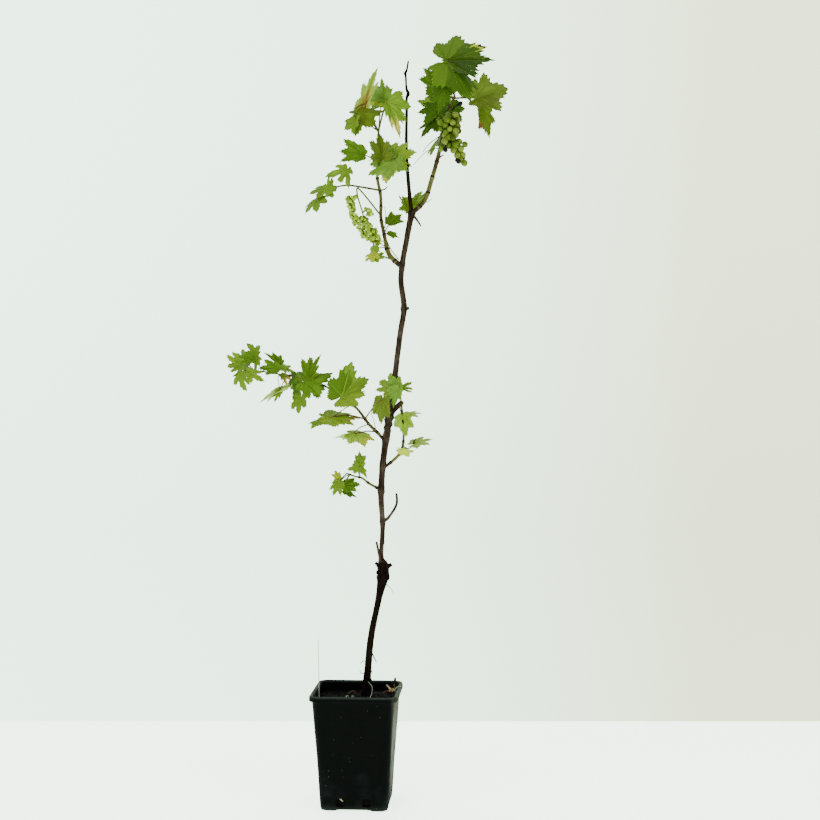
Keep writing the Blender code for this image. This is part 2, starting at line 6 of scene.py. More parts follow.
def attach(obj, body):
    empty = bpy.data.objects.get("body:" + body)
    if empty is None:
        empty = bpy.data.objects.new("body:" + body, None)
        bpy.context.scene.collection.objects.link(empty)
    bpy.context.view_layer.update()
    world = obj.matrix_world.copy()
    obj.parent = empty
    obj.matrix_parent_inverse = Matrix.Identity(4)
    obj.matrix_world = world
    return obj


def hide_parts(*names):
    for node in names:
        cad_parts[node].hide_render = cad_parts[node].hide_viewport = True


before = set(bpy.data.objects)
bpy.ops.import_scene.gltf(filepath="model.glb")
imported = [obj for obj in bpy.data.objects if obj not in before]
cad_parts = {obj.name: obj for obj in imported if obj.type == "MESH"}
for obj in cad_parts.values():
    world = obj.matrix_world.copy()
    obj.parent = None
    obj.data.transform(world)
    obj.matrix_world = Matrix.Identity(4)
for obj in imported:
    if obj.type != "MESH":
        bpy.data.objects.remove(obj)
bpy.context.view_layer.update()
seed = 11


# Materials

def linear(code, lift=1):
    # An sRGB hex value as linear colour: ((c + 0.055) / 1.055) to the power 2.4, times lift
    c = np.array([int(code[i:i + 2], 16) / 255 for i in (1, 3, 5)])
    return (*np.where(c > 0.04045, ((c + 0.055) / 1.055) ** 2.4, c / 12.92) * lift, 1.0)


def socketOf(source):  # a socket as it is, or the first output in use of a node
    if isinstance(source, bpy.types.Node):
        return next(socket for socket in source.outputs if socket.enabled)
    return source


def addNode(tree, kind, inputs=None, stops=(), **settings):
    # One node with its settings, its inputs as values or as links from nodes and sockets,
    # and colours at places along a ramp
    node = tree.nodes.new("ShaderNode" + kind)
    for key, value in settings.items():
        setattr(node, key, value)
    for key, source in (inputs or {}).items():
        if isinstance(source, (bpy.types.Node, bpy.types.NodeSocket)):
            tree.links.new(socketOf(source), node.inputs[key])
        else:
            node.inputs[key].default_value = source
    while stops and len(node.color_ramp.elements) < len(stops):
        node.color_ramp.elements.new(0.5)
    for element, (place, *shade) in zip(node.color_ramp.elements if stops else (), stops):
        element.position = place
        element.color = linear(*shade)
    return node


def newMaterial(name, code, roughness, specular, lift=1):  # a Principled material and its node tree
    made = bpy.data.materials.new(name)
    made.use_nodes = True
    shader = made.node_tree.nodes["Principled BSDF"]
    shader.inputs["Base Color"].default_value = linear(code, lift)
    shader.inputs["Roughness"].default_value = roughness
    shader.inputs["Specular IOR Level"].default_value = specular
    return made, made.node_tree, shader


def cover(tree, shader, colour, height, strength, distance):  # links a colour, and the relief of a height
    relief = addNode(tree, "Bump", {"Strength": strength, "Distance": distance, "Height": height})
    tree.links.new(socketOf(colour), shader.inputs["Base Color"])
    tree.links.new(socketOf(relief), shader.inputs["Normal"])


def mottled(name, code, roughness, specular, scale, spread):
    # A grown skin: its colour drifts either side of the code by the spread, over soft noise
    # of this scale, and the same noise lifts it a little
    made, tree, shader = newMaterial(name, code, roughness, specular)
    place = addNode(tree, "TexCoord").outputs["Object"]
    cloud = addNode(tree, "TexNoise", {"Scale": scale, "Detail": 3, "Vector": place})
    stops = ((0.36, code, 1 - spread), (0.5, code), (0.64, code, 1 + spread))
    drift = addNode(tree, "ValToRGB", {"Fac": cloud}, stops=stops)
    cover(tree, shader, drift, cloud, 0.25, 0.0003)
    return made


# Making shapes

eye = np.array([90, -2450, 708])  # where the vine is seen from


def seen(knots):
    # The tables give x and z where a line of sight meets y = 0. Each row moves along that
    # line to its depth y: its distance from the eye's x and z grows by 1 - y / the eye's y.
    k = np.array(knots, float)
    share = 1 - k[..., 1] / eye[1]
    k[..., 0] = eye[0] + (k[..., 0] - eye[0]) * share
    k[..., 2] = eye[2] + (k[..., 2] - eye[2]) * share
    return k


def unit(vectors):  # vectors divided by their lengths
    return vectors / np.linalg.norm(vectors, axis=-1, keepdims=True)


def smoothCurve(knots, perSpan=8):  # Catmull-Rom: each span is a cubic of its two ends and their neighbours
    k = np.asarray(knots, float)
    ends = np.vstack([k[:1], k, k[-1:]])
    t = (np.arange(perSpan) / perSpan)[None, :, None]
    a, b, c, d = (ends[i:len(ends) - 3 + i, None, :] for i in range(4))
    curve = b + 0.5 * ((c - a) * t + (2 * a - 5 * b + 4 * c - d) * t**2 + (3 * b - a - 3 * c + d) * t**3)
    return np.vstack([curve.reshape(-1, k.shape[1]), k[-1:]])


def lengthsOf(route):  # length from the foot to each point: the running sum of the steps
    steps = np.linalg.norm(np.diff(route[:, :3], axis=0), axis=1)
    return np.concatenate([[0], np.cumsum(steps)])


def at(route, places):  # rows of a route at these lengths from its foot
    run = lengthsOf(route)
    return np.stack([np.interp(places, run, route[:, i]) for i in range(route.shape[1])], axis=-1)


def nearest(route, point):  # length along a route of its nearest point to this one
    places = np.linspace(0, lengthsOf(route)[-1], 400)
    return places[np.linalg.norm(at(route, places)[:, :3] - point, axis=1).argmin()]


def reaching(route, z):  # length along a route where it reaches this height
    return np.interp(z, route[:, 2], lengthsOf(route))


def evenRoute(knots, spacing):  # a smooth route of x, y, z, radius with evenly spaced rows
    curve = smoothCurve(knots)
    total = lengthsOf(curve)[-1]
    return at(curve, np.linspace(0, total, max(3, int(total / spacing) + 1)))


def roundTip(route):  # closes the end like a finger tip: radius times the root of 1 - share squared
    last = route[-1]
    way = unit(route[-1, :3] - route[-2, :3])
    share = np.array([0.45, 0.8, 0.97])
    rings = np.column_stack([last[:3] + way * share[:, None] * last[3], last[3] * np.sqrt(1 - share**2)])
    return np.vstack([route, rings])


def gridFaces(rows, around):
    # Quads between rows of points that close round, and the fans that close both ends
    # about two points kept after the grid's
    i, j = np.meshgrid(np.arange(rows - 1), np.arange(around), indexing="ij")
    k = (j + 1) % around
    quads = np.stack([i * around + j, i * around + k, (i + 1) * around + k, (i + 1) * around + j], -1)
    j, k, top, hub = j[0], k[0], (rows - 1) * around, np.full(around, rows * around)
    return quads, np.vstack([np.stack([hub, k, j], -1), np.stack([hub + 1, top + j, top + k], -1)])


def tube(route, around, look=0, relief=None):
    # The centre line plus radius times cosine and sine on two directions square to it,
    # where relief(angle, length) adds to the radius
    points, radius = route[:, :3], route[:, 3:4]
    way = unit(np.gradient(points, axis=0))
    flattest = np.eye(3)[np.abs(way).max(axis=0).argmin()]
    side = unit(flattest - (way @ flattest)[:, None] * way)
    over = np.cross(way, side)
    angle = np.arange(around) * 2 * np.pi / around
    reach = radius + (relief(angle[None], lengthsOf(route)[:, None]) if relief else 0) + 0 * angle
    ring = np.cos(angle)[None, :, None] * side[:, None] + np.sin(angle)[None, :, None] * over[:, None]
    skin = points[:, None] + ring * reach[..., None]
    quads, fans = gridFaces(len(route), around)
    looks = np.broadcast_to(look, len(route))[:-1].repeat(around)
    verts = np.vstack([skin.reshape(-1, 3), points[:1], points[-1:]])
    return verts, [(quads.reshape(-1, 4), looks), (fans, looks[-1])]


def addPiece(name, shapes, looks, nodes):
    # Joins shapes, each of them points and groups of (faces, look), into one mesh in metres
    points, loops, sizes, slots = [], [], [], []
    start = 0
    for verts, groups in shapes:
        points.append(verts)
        for faces, look in groups:
            loops.append((faces + start).ravel())
            sizes.append(np.full(len(faces), faces.shape[1]))
            slots.append(np.broadcast_to(look, len(faces)))
        start += len(verts)
    loops, sizes = np.concatenate(loops), np.concatenate(sizes)
    used, slots = np.unique(np.concatenate(slots), return_inverse=True)
    mesh = bpy.data.meshes.new(name)
    mesh.vertices.add(start)
    mesh.vertices.foreach_set("co", (np.concatenate(points) * 0.001).ravel())
    mesh.loops.add(len(loops))
    mesh.loops.foreach_set("vertex_index", loops)
    mesh.polygons.add(len(sizes))
    mesh.polygons.foreach_set("loop_start", np.cumsum(sizes) - sizes)
    mesh.polygons.foreach_set("material_index", slots)
    mesh.polygons.foreach_set("use_smooth", np.ones(len(sizes), bool))
    mesh.update(calc_edges=True)
    for look in used:
        mesh.materials.append(looks[look])
    piece = bpy.data.objects.new(name, mesh)
    bpy.context.scene.collection.objects.link(piece)
    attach(piece, "root")
    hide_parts(*nodes)
    print(name, int((sizes - 2).sum()), "triangles")


# The vine's tables. Rows of wood are x, y, z and radius.

limbs = {
    "trunk": (
        (16, 12, 186, 8.6), (18, 12, 222, 6), (25, 11, 285, 5.4), (37, 9, 345, 5.3), (44, 7, 383, 9.4),
        (44, 7, 402, 8.8), (41, 6, 418, 4), (44, 4, 467, 3.9), (41, 1, 530, 4.9), (47, 0, 600, 5.2),
        (59, 1, 680, 4.9), (72, 2, 785, 4.5), (80, 1, 838, 4.6), (75, 0, 890, 4.5), (85, 0, 958, 4.5),
        (93, 0, 997, 5.2),
    ),
    "leader_dead": (
        (92, 1, 1002, 3.4), (88, 2, 1040, 3.2), (85, 2, 1080, 2.8), (84, 1, 1124, 2.5), (84.5, 1, 1172, 2.3),
        (84.5, 0, 1190, 2.2), (87, 0, 1198, 2.9), (84, 0, 1207, 1.9), (83, 0, 1226, 1.7), (82, 0, 1232, 2.4),
        (84.5, 0, 1238, 1.6), (87, 0, 1252, 1.4),
    ),
    "spur_dead": ((45, 3, 477, 3.2), (54, 3, 484, 2.4), (67, 4, 505, 2.1), (67, 4, 523, 1.9)),
    "stub_pruned": ((54, 1, 654, 4.6), (64, 0, 667, 4.5), (75, -1, 677, 4.3)),
}
shootForm = {  # internode in mm, vigour as a share of the radii, and the route from the trunk to the tip
    "right": {
        "nodes": ("bough_right", "foliage_right_low", "foliage_right_top"),
        "internode": 27, "vigour": 1,
        "route": ((96, -2, 999, 4), (115, -4, 1019, 3.7), (126, -6, 1052, 3.7), (138, -8, 1095, 3.4),
                  (145, -8, 1130, 2.6), (152, -7, 1165, 2.2), (158, -6, 1179, 2), (165, -5, 1192, 1.7)),
        "twigs": (((164, -5, 1190, 1.7), (184, -3, 1191, 1.5), (206, -1, 1190, 1.3)),),
    },
    "left": {
        "nodes": ("bough_left", "foliage_left_foot", "foliage_left_arm", "foliage_left_middle",
                  "foliage_left_top"),
        "internode": 24, "vigour": 1.35,
        "route": ((74, -3, 909, 3.5), (59, -7, 922, 3), (52, -8, 935, 3), (47, -10, 958, 2.4),
                  (41, -10, 989, 2.2), (41, -10, 1010, 2), (40, -10, 1030, 1.9), (35, -10, 1056, 1.8),
                  (34, -9, 1088, 1.7), (36, -9, 1110, 1.5), (37, -9, 1134, 1.3)),
        "twigs": (((40, -10, 1036, 1.9), (8, -18, 1041, 1.7), (-18, -20, 1044, 1.5), (-48, -14, 1038, 1.3)),),
    },
    "long": {
        "nodes": ("bough_long", "foliage_long_near", "foliage_long_middle", "foliage_long_far"),
        "internode": 30, "vigour": 1.15,
        "route": ((45, -3, 616, 2.6), (35, -7, 627, 2.4), (20, -11, 642, 2.2), (0, -15, 668, 1.8),
                  (-26, -17, 687, 1.6), (-58, -18, 708, 1.4), (-92, -17, 720, 1.3), (-132, -17, 726, 1.1),
                  (-176, -14, 733, 0.9)),
    },
    "side": {
        "nodes": ("bough_side", "foliage_side_low", "foliage_side_top"),
        "internode": 22, "vigour": 1.3,
        "route": ((50, -2, 571, 2.2), (70, -8, 588, 1.9), (77, -9, 602, 1.7), (79, -10, 616, 1.5),
                  (79, -11, 630, 1.4), (78, -12, 652, 1.3), (74, -14, 688, 1.1)),
        "twigs": (((77, -10, 606, 1.1), (86, -12, 600, 1), (97, -12, 606, 0.9)),),
    },
    "low": {
        "nodes": ("bough_low", "foliage_low"),
        "internode": 17, "vigour": 1.15,
        "route": ((39, -4, 531, 2), (21, -9, 541, 1.7), (9, -12, 550, 1.5), (-3, -14, 553, 1.2),
                  (-17, -15, 558, 1)),
    },
    "fork": {
        "nodes": ("foliage_fork",),
        "internode": 11, "vigour": 1,
        "route": ((89, 4, 982, 1.2), (91, 16, 990, 1.1), (93, 26, 1002, 1)),
    },
}
foliage = {
    # x, y, z, length, then in degrees the midrib's aim, the lean back, roll and fold, and the
    # look; where a leaf has them, its lobes as pairs of bearing and percent of the reach, the
    # depth of its bays in percent, and patches of first and last angle, the share of the
    # reach that they begin at (below 0: that they end at) and tint
    "foliage_right_low": (
        (135, -23, 1172, 35, 190, 0, 34, 0, "dark", (-45, 102, -7, 93, 43, 105), 30),
        (132, -26, 1153, 37, 202, -16, 40, 3, "deepOlive", (-29, 78, -7, 94, 29, 105), 35),
        (137, 12, 1122, 36, 226, -32, 76, -8, "fresh"),
        (120, -12, 1175, 23, 142, -14, 40, 40, "bright"),
        (140, 40, 1173, 46, 120, -32, 20, 20, "dark"),
        (160, 25, 1174, 34, 262, -32, 0, 30, "dark"),
    ),
    "foliage_right_top": (
        (151, -69, 1252, 80, 359, 22, -42, 6, "deepOlive",
         (-118, 55, -76, 60, -38, 106, 3, 100, 30, 97, 89, 110, 120, 130), 8,
         ((70, 180, -2, "mid"), (12, 78, 0.45, "dark"), (-60, 5, 0.1, "deepest"), (38, 64, 0.84, "yellow"),
          (44, 58, 0.9, "scorch"), (0, 180, -0.08, "rust"))),
        (155, -89, 1249, 65, 303, 27, -34, -16, "dark",
         (-130, 36, -107, 70, -60, 82, 0, 130, 34, 110, 58, 57, 98, 43), 12, ((-180, -30, 0.2, "mid"),)),
        (138, -33, 1204, 50, 152, 38, 48, 10, "mid",
         (-120, 70, -83, 140, -49, 98, -5, 81, 46, 96, 100, 92, 150, 92), 12),
        (148, -106, 1210, 34, 256, 22, 13, -20, "dark", (-74, 89, -33, 105, -1, 141, 35, 89, 63, 72), 20),
        (170, 46, 1244, 42, 75, -32, 0, 30, "deepOlive"),
        (204, -25, 1191, 49, 17, -9, -9, 28, "greyOlive", (-92, 70, -58, 111, 5, 121, 63, 100, 85, 84)),
        (212, -5, 1175, 46, 285, -7, -48, 6, "olive",
         (-71, 59, -40, 102, 4, 122, 41, 88, 69, 61), 10, ((-75, -30, 0.72, "rust"),)),
    ),
    "foliage_left_foot": (
        (30, -14, 940, 22, 262, 22, 58, 0, "bright"),
        (29, -30, 927, 20, 212, 12, 52, 0, "yellow"),
        (31, -18, 922, 20, 35, -13, -40, 10, "yellowGreen"),
        (30, -22, 950, 18, 5, -2, -66, 5, "yellow"),
        (54, -14, 978, 33, 42, -14, -30, 10, "mid",
         (-110, 30, -70, 50, -42, 90, 0, 95, 38, 90, 70, 60, 110, 40), 14),
        (52, -19, 964, 23, 340, 9, -40, 10, "mid",
         (-110, 30, -60, 50, -30, 85, 0, 100, 25, 80, 50, 50, 110, 30), 14),
    ),
    "foliage_left_arm": (
        (-15, -26, 1072, 37, 241, -5, 24, 23, "fresh",
         (-120, 50, -80, 70, -43, 121, -6, 74, 44, 110, 90, 60, 130, 40), 50),
        (-50, -16, 1038, 33, 190, 4, 58, -2, "fresh"),
        (-50, -37, 1037, 25, 62, -19, 52, 24, "fresh"),
        (-66, -24, 1020, 33, 222, 15, 60, -5, "fresh"),
    ),
    "foliage_left_middle": (
        (14, -34, 1095, 47, 163, -6, 12, 12, "mid",
         (-110, 30, -62, 45, -22, 108, 6, 95, 34, 100, 62, 60, 110, 40), 16),
        (59, -38, 1090, 46, 12, 30, -33, -4, "bright", (-100, 92, -46, 99, 2, 103, 49, 90, 93, 109), 25),
        (66, -56, 1088, 57, 252, 32, 44, 10, "cool",
         (-150, 92, -84, 109, -55, 97, -2, 97, 40, 92, 78, 45, 112, 40), 20, ((-30, 30, 0.88, "yellow"),)),
        (50, -8, 1092, 31, 76, -21, 40, 30, "mid"),
        (43, -42, 1091, 40, 96, -7, -2, 50, "greyOlive", (-51, 86, 1, 110, 49, 100), 30),
        (58, 34, 1084, 40, 30, -32, -20, 20, "fresh"),
    ),
    "foliage_left_top": (
        (12, 2, 1174, 54, 73, -8, -8, 44, "lime",
         (-51, 40, -20, 104, 2, 150, 26, 81, 53, 40), None,
         ((-180, 180, -0.5, "tan"), (-180, -10, -0.3, "rust"))),
        (52, 12, 1185, 39, 133, -35, -23, 28, "cool",
         (-66, 96, -39, 124, -2, 143, 49, 101, 71, 54), None, ((40, 110, 0.6, "yellow"),)),
        (4, -20, 1166, 46, 6, 14, -40, -20, "olive",
         (-132, 142, -102, 111, -52, 86, 6, 102, 28, 72, 100, 92, 150, 92), 20),
        (-2, -31, 1150, 25, 262, 22, 40, 30, "fresh"),
        (51, -44, 1184, 59, 294, -12, -18, 12, "fresh",
         (-70, 35, -34, 50, -12, 85, 0, 112, 24, 85, 56, 90, 98, 100), 24,
         ((-60, 26, 0.66, "beige"), (-12, 12, 0.93, "rust"))),
        (42, 54, 1186, 38, 150, -32, 20, 20, "cool"),
    ),
    "foliage_long_near": (
        (-44, -26, 653, 49, 1, -4, -66, -4, "bright",
         (-83, 91, -33, 101, 0, 107, 22, 79, 100, 92), 15, ((-40, 40, 0.78, "tan"),)),
        (-46, 4, 653, 44, 194, -22, 76, -5, "bright", (), 10),
        (-3, -28, 625, 37, 351, 4, -67, -4, "yellowGreen",
         (), 8, ((-60, 60, 0.7, "yellow"), (-60, 60, 0.92, "tan"))),
        (-6, -3, 622, 31, 183, 1, 104, 0, "pale", (), 5),
        (44, -34, 684, 44, 264, 3, 36, 12, "greyOlive",
         (-150, 35, -100, 45, -34, 78, -3, 98, 31, 85, 95, 50, 150, 35), 8),
        (-25, -34, 688, 55, 34, -21, -23, 28, "fresh",
         (-82, 100, -47, 79, 3, 107, 41, 129, 99, 85), None,
         ((-180, -40, 0.35, "bright"), (58, 180, 0, "mid"), (20, 60, -0.7, "mid"))),
        (-14, 26, 694, 34, 60, -32, -20, 20, "fresh"),
    ),
    "foliage_long_middle": (
        (-80, -26, 718, 50, 86, -22, -16, 20, "mid",
         (-120, 30, -66, 50, -38, 62, -20, 98, 4, 95, 26, 115, 60, 45), 20, ((-180, 180, 0.84, "fresh"),)),
        (-88, -34, 714, 42, 12, -9, -36, -14, "mid",
         (-90, 94, -60, 96, 14, 125, 37, 72, 100, 92), None, ((20, 80, 0.75, "yellowGreen"),)),
        (-94, -24, 686, 30, 260, 18, 44, 12, "fresh", (-48, 100, -5, 97, 46, 95)),
        (-97, 10, 710, 40, 246, -32, 56, 24, "dark"),
        (-80, 18, 710, 34, 340, -32, -20, 20, "mid"),
    ),
    "foliage_long_far": (
        (-128, -22, 737, 25, 342, 4, -30, 10, "cool",
         (-110, 30, -60, 45, -35, 65, 0, 100, 30, 80, 60, 50, 110, 30)),
        (-130, -4, 739, 37, 118, -10, 20, 20, "mid",
         (-110, 20, -65, 45, -35, 58, -2, 78, 24, 105, 34, 30, 80, 10), 14),
        (-130, -40, 736, 37, 178, 0, 20, 14, "mid",
         (-120, 25, -60, 40, -28, 90, 0, 100, 33, 78, 67, 50, 110, 30), 20),
        (-128, -26, 726, 23, 305, 14, -20, 10, "greyOlive",
         (-120, 25, -60, 35, -28, 60, -5, 100, 32, 90, 60, 50, 110, 30), None, ((-60, 60, 0.7, "tan"),)),
        (-130, -30, 700, 25, 250, 12, 24, 0, "fresh",
         (-120, 30, -60, 50, -28, 75, -3, 100, 25, 70, 55, 55, 110, 30), 30),
        (-112, -24, 707, 56, 200, 0, 66, 0, "pale",
         (-150, 14, -100, 14, -50, 22, 0, 105, 50, 22, 100, 14, 150, 14), 0),
        (-112, 66, 712, 60, 209, -32, 84, 0, "pale"),
        (-170, -22, 757, 30, 122, -12, 12, 14, "fresh",
         (-120, 30, -80, 45, -54, 70, 6, 100, 34, 60, 70, 30, 120, 25), 30),
        (-172, -44, 755, 28, 188, 8, 16, 12, "mid",
         (-110, 25, -70, 35, -40, 66, -9, 100, 18, 100, 42, 95, 85, 70), 20),
        (-194, -28, 742, 32, 150, 0, 15, 8, "fresh",
         (-110, 40, -60, 60, -24, 95, -3, 100, 44, 85, 66, 100, 110, 50), 30, ((-180, 25, 0.5, "bright"),)),
        (-196, -30, 728, 33, 287, 12, 20, 8, "fresh",
         (-120, 40, -92, 60, -58, 78, -3, 100, 22, 85, 60, 45, 120, 30), 40),
        (-186, -52, 731, 35, 334, 10, -16, 8, "fresh",
         (-120, 35, -75, 50, -42, 72, -2, 100, 24, 80, 60, 40, 120, 30), 30),
        (-170, -30, 756, 26, 268, 10, 20, 8, "fresh",
         (-120, 25, -80, 30, -30, 50, -2, 100, 25, 75, 67, 65, 110, 30), 20),
        (-188, 10, 746, 30, 200, -32, 20, 20, "cool"),
    ),
    "foliage_side_low": (
        (100, -13, 609, 29, 20, -8, -68, 4, "lime"),
        (76, -20, 599, 22, 350, 6, 62, 22, "yellow", (), 12, ((-30, 30, 0.8, "tan"),)),
    ),
    "foliage_side_top": (
        (77, -26, 656, 38, 280, 14, 12, 10, "bright",
         (-130, 30, -85, 50, -50, 65, 0, 100, 36, 85, 76, 60, 120, 40), 10,
         ((-120, -14, 0.3, "yellowGreen"),)),
        (86, -12, 658, 26, 8, -3, -74, 0, "lime"),
        (80, -4, 656, 22, 208, 10, 72, 0, "lime"),
        (71, -20, 703, 34, 170, 6, 8, 6, "cool",
         (-140, 40, -82, 77, -54, 74, 0, 100, 35, 50, 100, 30, 150, 30), 20),
        (72, -32, 703, 36, 252, 12, 10, 6, "cool",
         (-120, 40, -62, 86, -34, 90, 0, 100, 22, 60, 70, 30, 120, 30), 15),
        (73, -12, 703, 25, 358, 0, -25, 0, "fresh",
         (-120, 30, -60, 30, -19, 100, -6, 95, 31, 105, 70, 40, 120, 30), 50),
        (60, 24, 702, 32, 150, -32, 20, 20, "yellowGreen"),
    ),
    "foliage_low": (
        (3, -20, 570, 28, 78, -10, 10, 14, "fresh",
         (-120, 40, -60, 60, -24, 90, 8, 100, 30, 80, 60, 55, 120, 40), 12),
        (4, -22, 570, 22, 200, 4, 10, 6, "fresh",
         (-110, 40, -72, 80, -40, 60, -6, 100, 36, 75, 73, 85, 110, 40), 20),
        (6, -12, 569, 24, 303, 12, -30, 10, "bright",
         (-120, 25, -60, 35, -28, 60, 0, 100, 28, 60, 60, 35, 120, 25), 15),
        (-28, -14, 546, 23, 125, -12, 20, 0, "yellow",
         (-110, 20, -60, 35, -30, 75, -8, 95, 20, 90, 50, 60, 110, 30), 20),
        (-28, -38, 545, 29, 245, 14, 14, 6, "fresh",
         (-110, 45, -60, 65, -30, 85, -4, 95, 28, 90, 55, 65, 110, 40), 22),
        (-23, -19, 537, 32, 8, -3, -24, 0, "mid",
         (-120, 40, -66, 55, -30, 85, 0, 95, 32, 85, 64, 55, 120, 35), 14),
        (-23, -12, 529, 29, 338, 8, -50, 0, "mid",
         (-110, 30, -60, 40, -24, 70, 0, 100, 24, 60, 60, 35, 110, 25), 10),
    ),
    "foliage_fork": (
        (97, 30, 1010, 39, 72, -32, -45, 15, "bright"),
        (84, 19, 1008, 27, 108, -32, 40, 30, "bright"),
    ),
}
bunchForm = {  # by shoot: four skin tints and the dry scar, then for each arm its curve, how many
    # grapes, their size, how far they spread from its foot and its tip, and its bare share
    "right": {
        "mass": "right_low",
        "skins": {"Mid": "#40500f", "Light": "#4d5c14", "Deep": "#2e3a08", "Pale": "#5c681f",
                  "Scar": "#1e1504"},
        "arms": (
            (((150, -7, 1161), (156, -34, 1153), (158, -44, 1128), (168, -42, 1106), (182, -38, 1082)),
             66, 12, (19, 7), 0.14),
            (((158, -44, 1128), (150, -44, 1116), (145, -43, 1104)), 8, 11.6, (7, 5), 0.3),
            (((160, -43, 1122), (172, -46, 1117), (181, -46, 1112)), 7, 12, (7, 4), 0.3),
        ),
    },
    "left": {
        "mass": "left_arm",
        "skins": {"YoungMid": "#6b7f1d", "YoungLight": "#7a8d26", "YoungDeep": "#586e16",
                  "YoungPale": "#8a9a36", "YoungScar": "#36420c"},
        "arms": (
            (((40, -14, 994), (5, -22, 1037), (1, -28, 1029), (8, -29, 1005), (15, -29, 982),
              (24, -28, 966), (30, -27, 954)), 78, 6.4, (8, 13), 0.74),
            (((2, -28, 1028), (-10, -31, 1021), (-8, -32, 1003), (-2, -31, 985), (7, -30, 970),
              (15, -30, 955)), 60, 6.4, (8, 5), 0.12),
            (((9, -29, 998), (17, -31, 1003), (21, -31, 1002), (22, -31, 995)), 18, 6.2, (4, 6), 0.45),
        ),
    },
}


# Bark and shoots

woodForm = {
    "flare": (15, 13, 172, 10.5),  # the trunk's foot, inside the mix
    "around": {"trunk": 44, "stump": 24, "dead": 28},  # points round each
    "ringStep": 1.4, "limbStep": 1.2, "stumpStep": 0.7,
    "ridges": ((5, 0.30, 31, 0.9), (8, 0.24, 17, 2.1), (13, 0.16, 9, 4)),  # number, height, wavelength, phase
    "flakes": (0.09, 2.3, 11),  # height, wavelength and length of a radian's twist
    "sways": (1.3, 0.8, 2.7),  # radians of the slow sway and of the quick one, and how much quicker it is
    "limbSwelling": (7, 0.9, 0.1),  # width, height and lumpiness where a limb leaves
    "knobs": ((383, 7, 1.2), (402, 5, 1.56), (441, 4, 0.48), (836, 6, 0.72), (530, 6, 0.6), (706, 5, 0.48),
              (652, 30, 1.44)),  # the trunk's height there, width and height of the knob
    "knobLumps": 0.45,
    "lumpTwists": (2.3, 1.7),
    "stumps": (  # height, bearing, length, radius and rise
        (394, 15, 17, 3.2, 32), (397, 175, 16, 2.6, 32), (400, 285, 13, 2.8, 60), (398, 265, 12, 3.4, 30),
        (399, 80, 13, 3, 40), (388, 200, 12, 3, 10), (382, 330, 12, 3.4, -10), (836, 0, 9, 2.6, 10),
    ),
    "stumpTaper": ((0, 1.5), (0.5, 1.12), (1, 0.95)),  # share of the length, and of the radius
    "stumpRelief": 0.7,
    "deadWood": {"leader_dead": 0.56, "spur_dead": 0.42, "stub_pruned": 0.63},  # relief of each
    "deadFoot": (1.2, 0.75),  # share of the radius, and closeness to the trunk's middle
}


def woodRelief(size, bumps=()):
    # Long ridges are cosines of the angle whose phase sways along the length, and
    # each bump is a bell curve of the length, lumpy round the trunk
    def relief(angle, length):
        fine, wave, twist = woodForm["flakes"]
        height = size * fine * np.sin(length / wave + 3 * np.cos(3 * angle + length / twist))
        slow, quick, times = woodForm["sways"]
        left, right = woodForm["lumpTwists"]
        for count, tall, wave, phase in woodForm["ridges"]:
            sway = slow * np.sin(length / wave + phase) + quick * np.sin(length / wave / times + 2 * phase)
            height = height + size * tall * np.cos(count * angle + sway)
        for place, wide, tall, lumps in bumps:
            bell = np.exp(-((length - place) / wide) ** 2)
            lumpy = 1 + lumps * (np.sin(3 * angle + length / left) + np.sin(5 * angle - length / right))
            height = height + tall * bell * lumpy
        return height
    return relief


def fromLimb(limb, knots, thick, near):
    # A side limb's route, whose first row lies inside the limb that it leaves: near is how
    # close to that limb's middle, and thick its radius against the next row's
    foot = at(limb, [nearest(limb, knots[0][:3])])[0, :3]
    start = [*(foot * near + knots[0][:3] * (1 - near)), knots[0][3] * thick]
    return roundTip(evenRoute([start, *knots], woodForm["limbStep"]))


def trunkShapes():
    # The trunk with a bump where each limb leaves it and at each knob, and its stumps:
    # short tubes that point away at a bearing and a rise
    route = roundTip(evenRoute(seen([woodForm["flare"], *limbs["trunk"]]), woodForm["ringStep"]))
    feet = [rows[0] for rows in limbs.values()]
    feet += [form["route"][0] for form in shootForm.values() if form["nodes"][0] not in foliage]
    bumps = [(nearest(route, seen(foot)[:3]), *woodForm["limbSwelling"]) for foot in feet]
    bumps += [(reaching(route, z), *bump, woodForm["knobLumps"]) for z, *bump in woodForm["knobs"]]
    around = woodForm["around"]
    shapes = [tube(route, around["trunk"], relief=woodRelief(1, bumps))]
    for z, bearing, length, radius, rise in woodForm["stumps"]:
        hub = at(route, [reaching(route, z)])[0, :3]
        bearing, rise = np.radians(bearing), np.radians(rise)
        way = np.array([np.cos(bearing) * np.cos(rise), np.sin(bearing) * np.cos(rise), np.sin(rise)])
        knots = [[*(hub + way * length * share), radius * wide] for share, wide in woodForm["stumpTaper"]]
        stump = evenRoute(knots, woodForm["stumpStep"])
        shapes.append(tube(stump, around["stump"], relief=woodRelief(woodForm["stumpRelief"])))
    return route, shapes


nodeForm = {
    "around": 18, "twigAround": 12,
    "foot": (1.25, 0.7),  # share of the radius, and closeness to the trunk's middle
    "firstNode": 0.7,  # share of an internode from the foot to the first node
    "bareTip": 2,
    "twigNodes": (8, 12),  # place of the first, and spacing
    "swelling": 0.68,  # how far a node stands out
    "above": 1.6, "below": 3.4,  # how far the swelling runs up and down the shoot
    "marked": 1.9,  # how far from a node its darker bark reaches
    "oldFoot": 13,  # length of old wood at a shoot's foot
    "ribs": (6, 0.14, 23),  # number, height, and length of a radian's twist
}


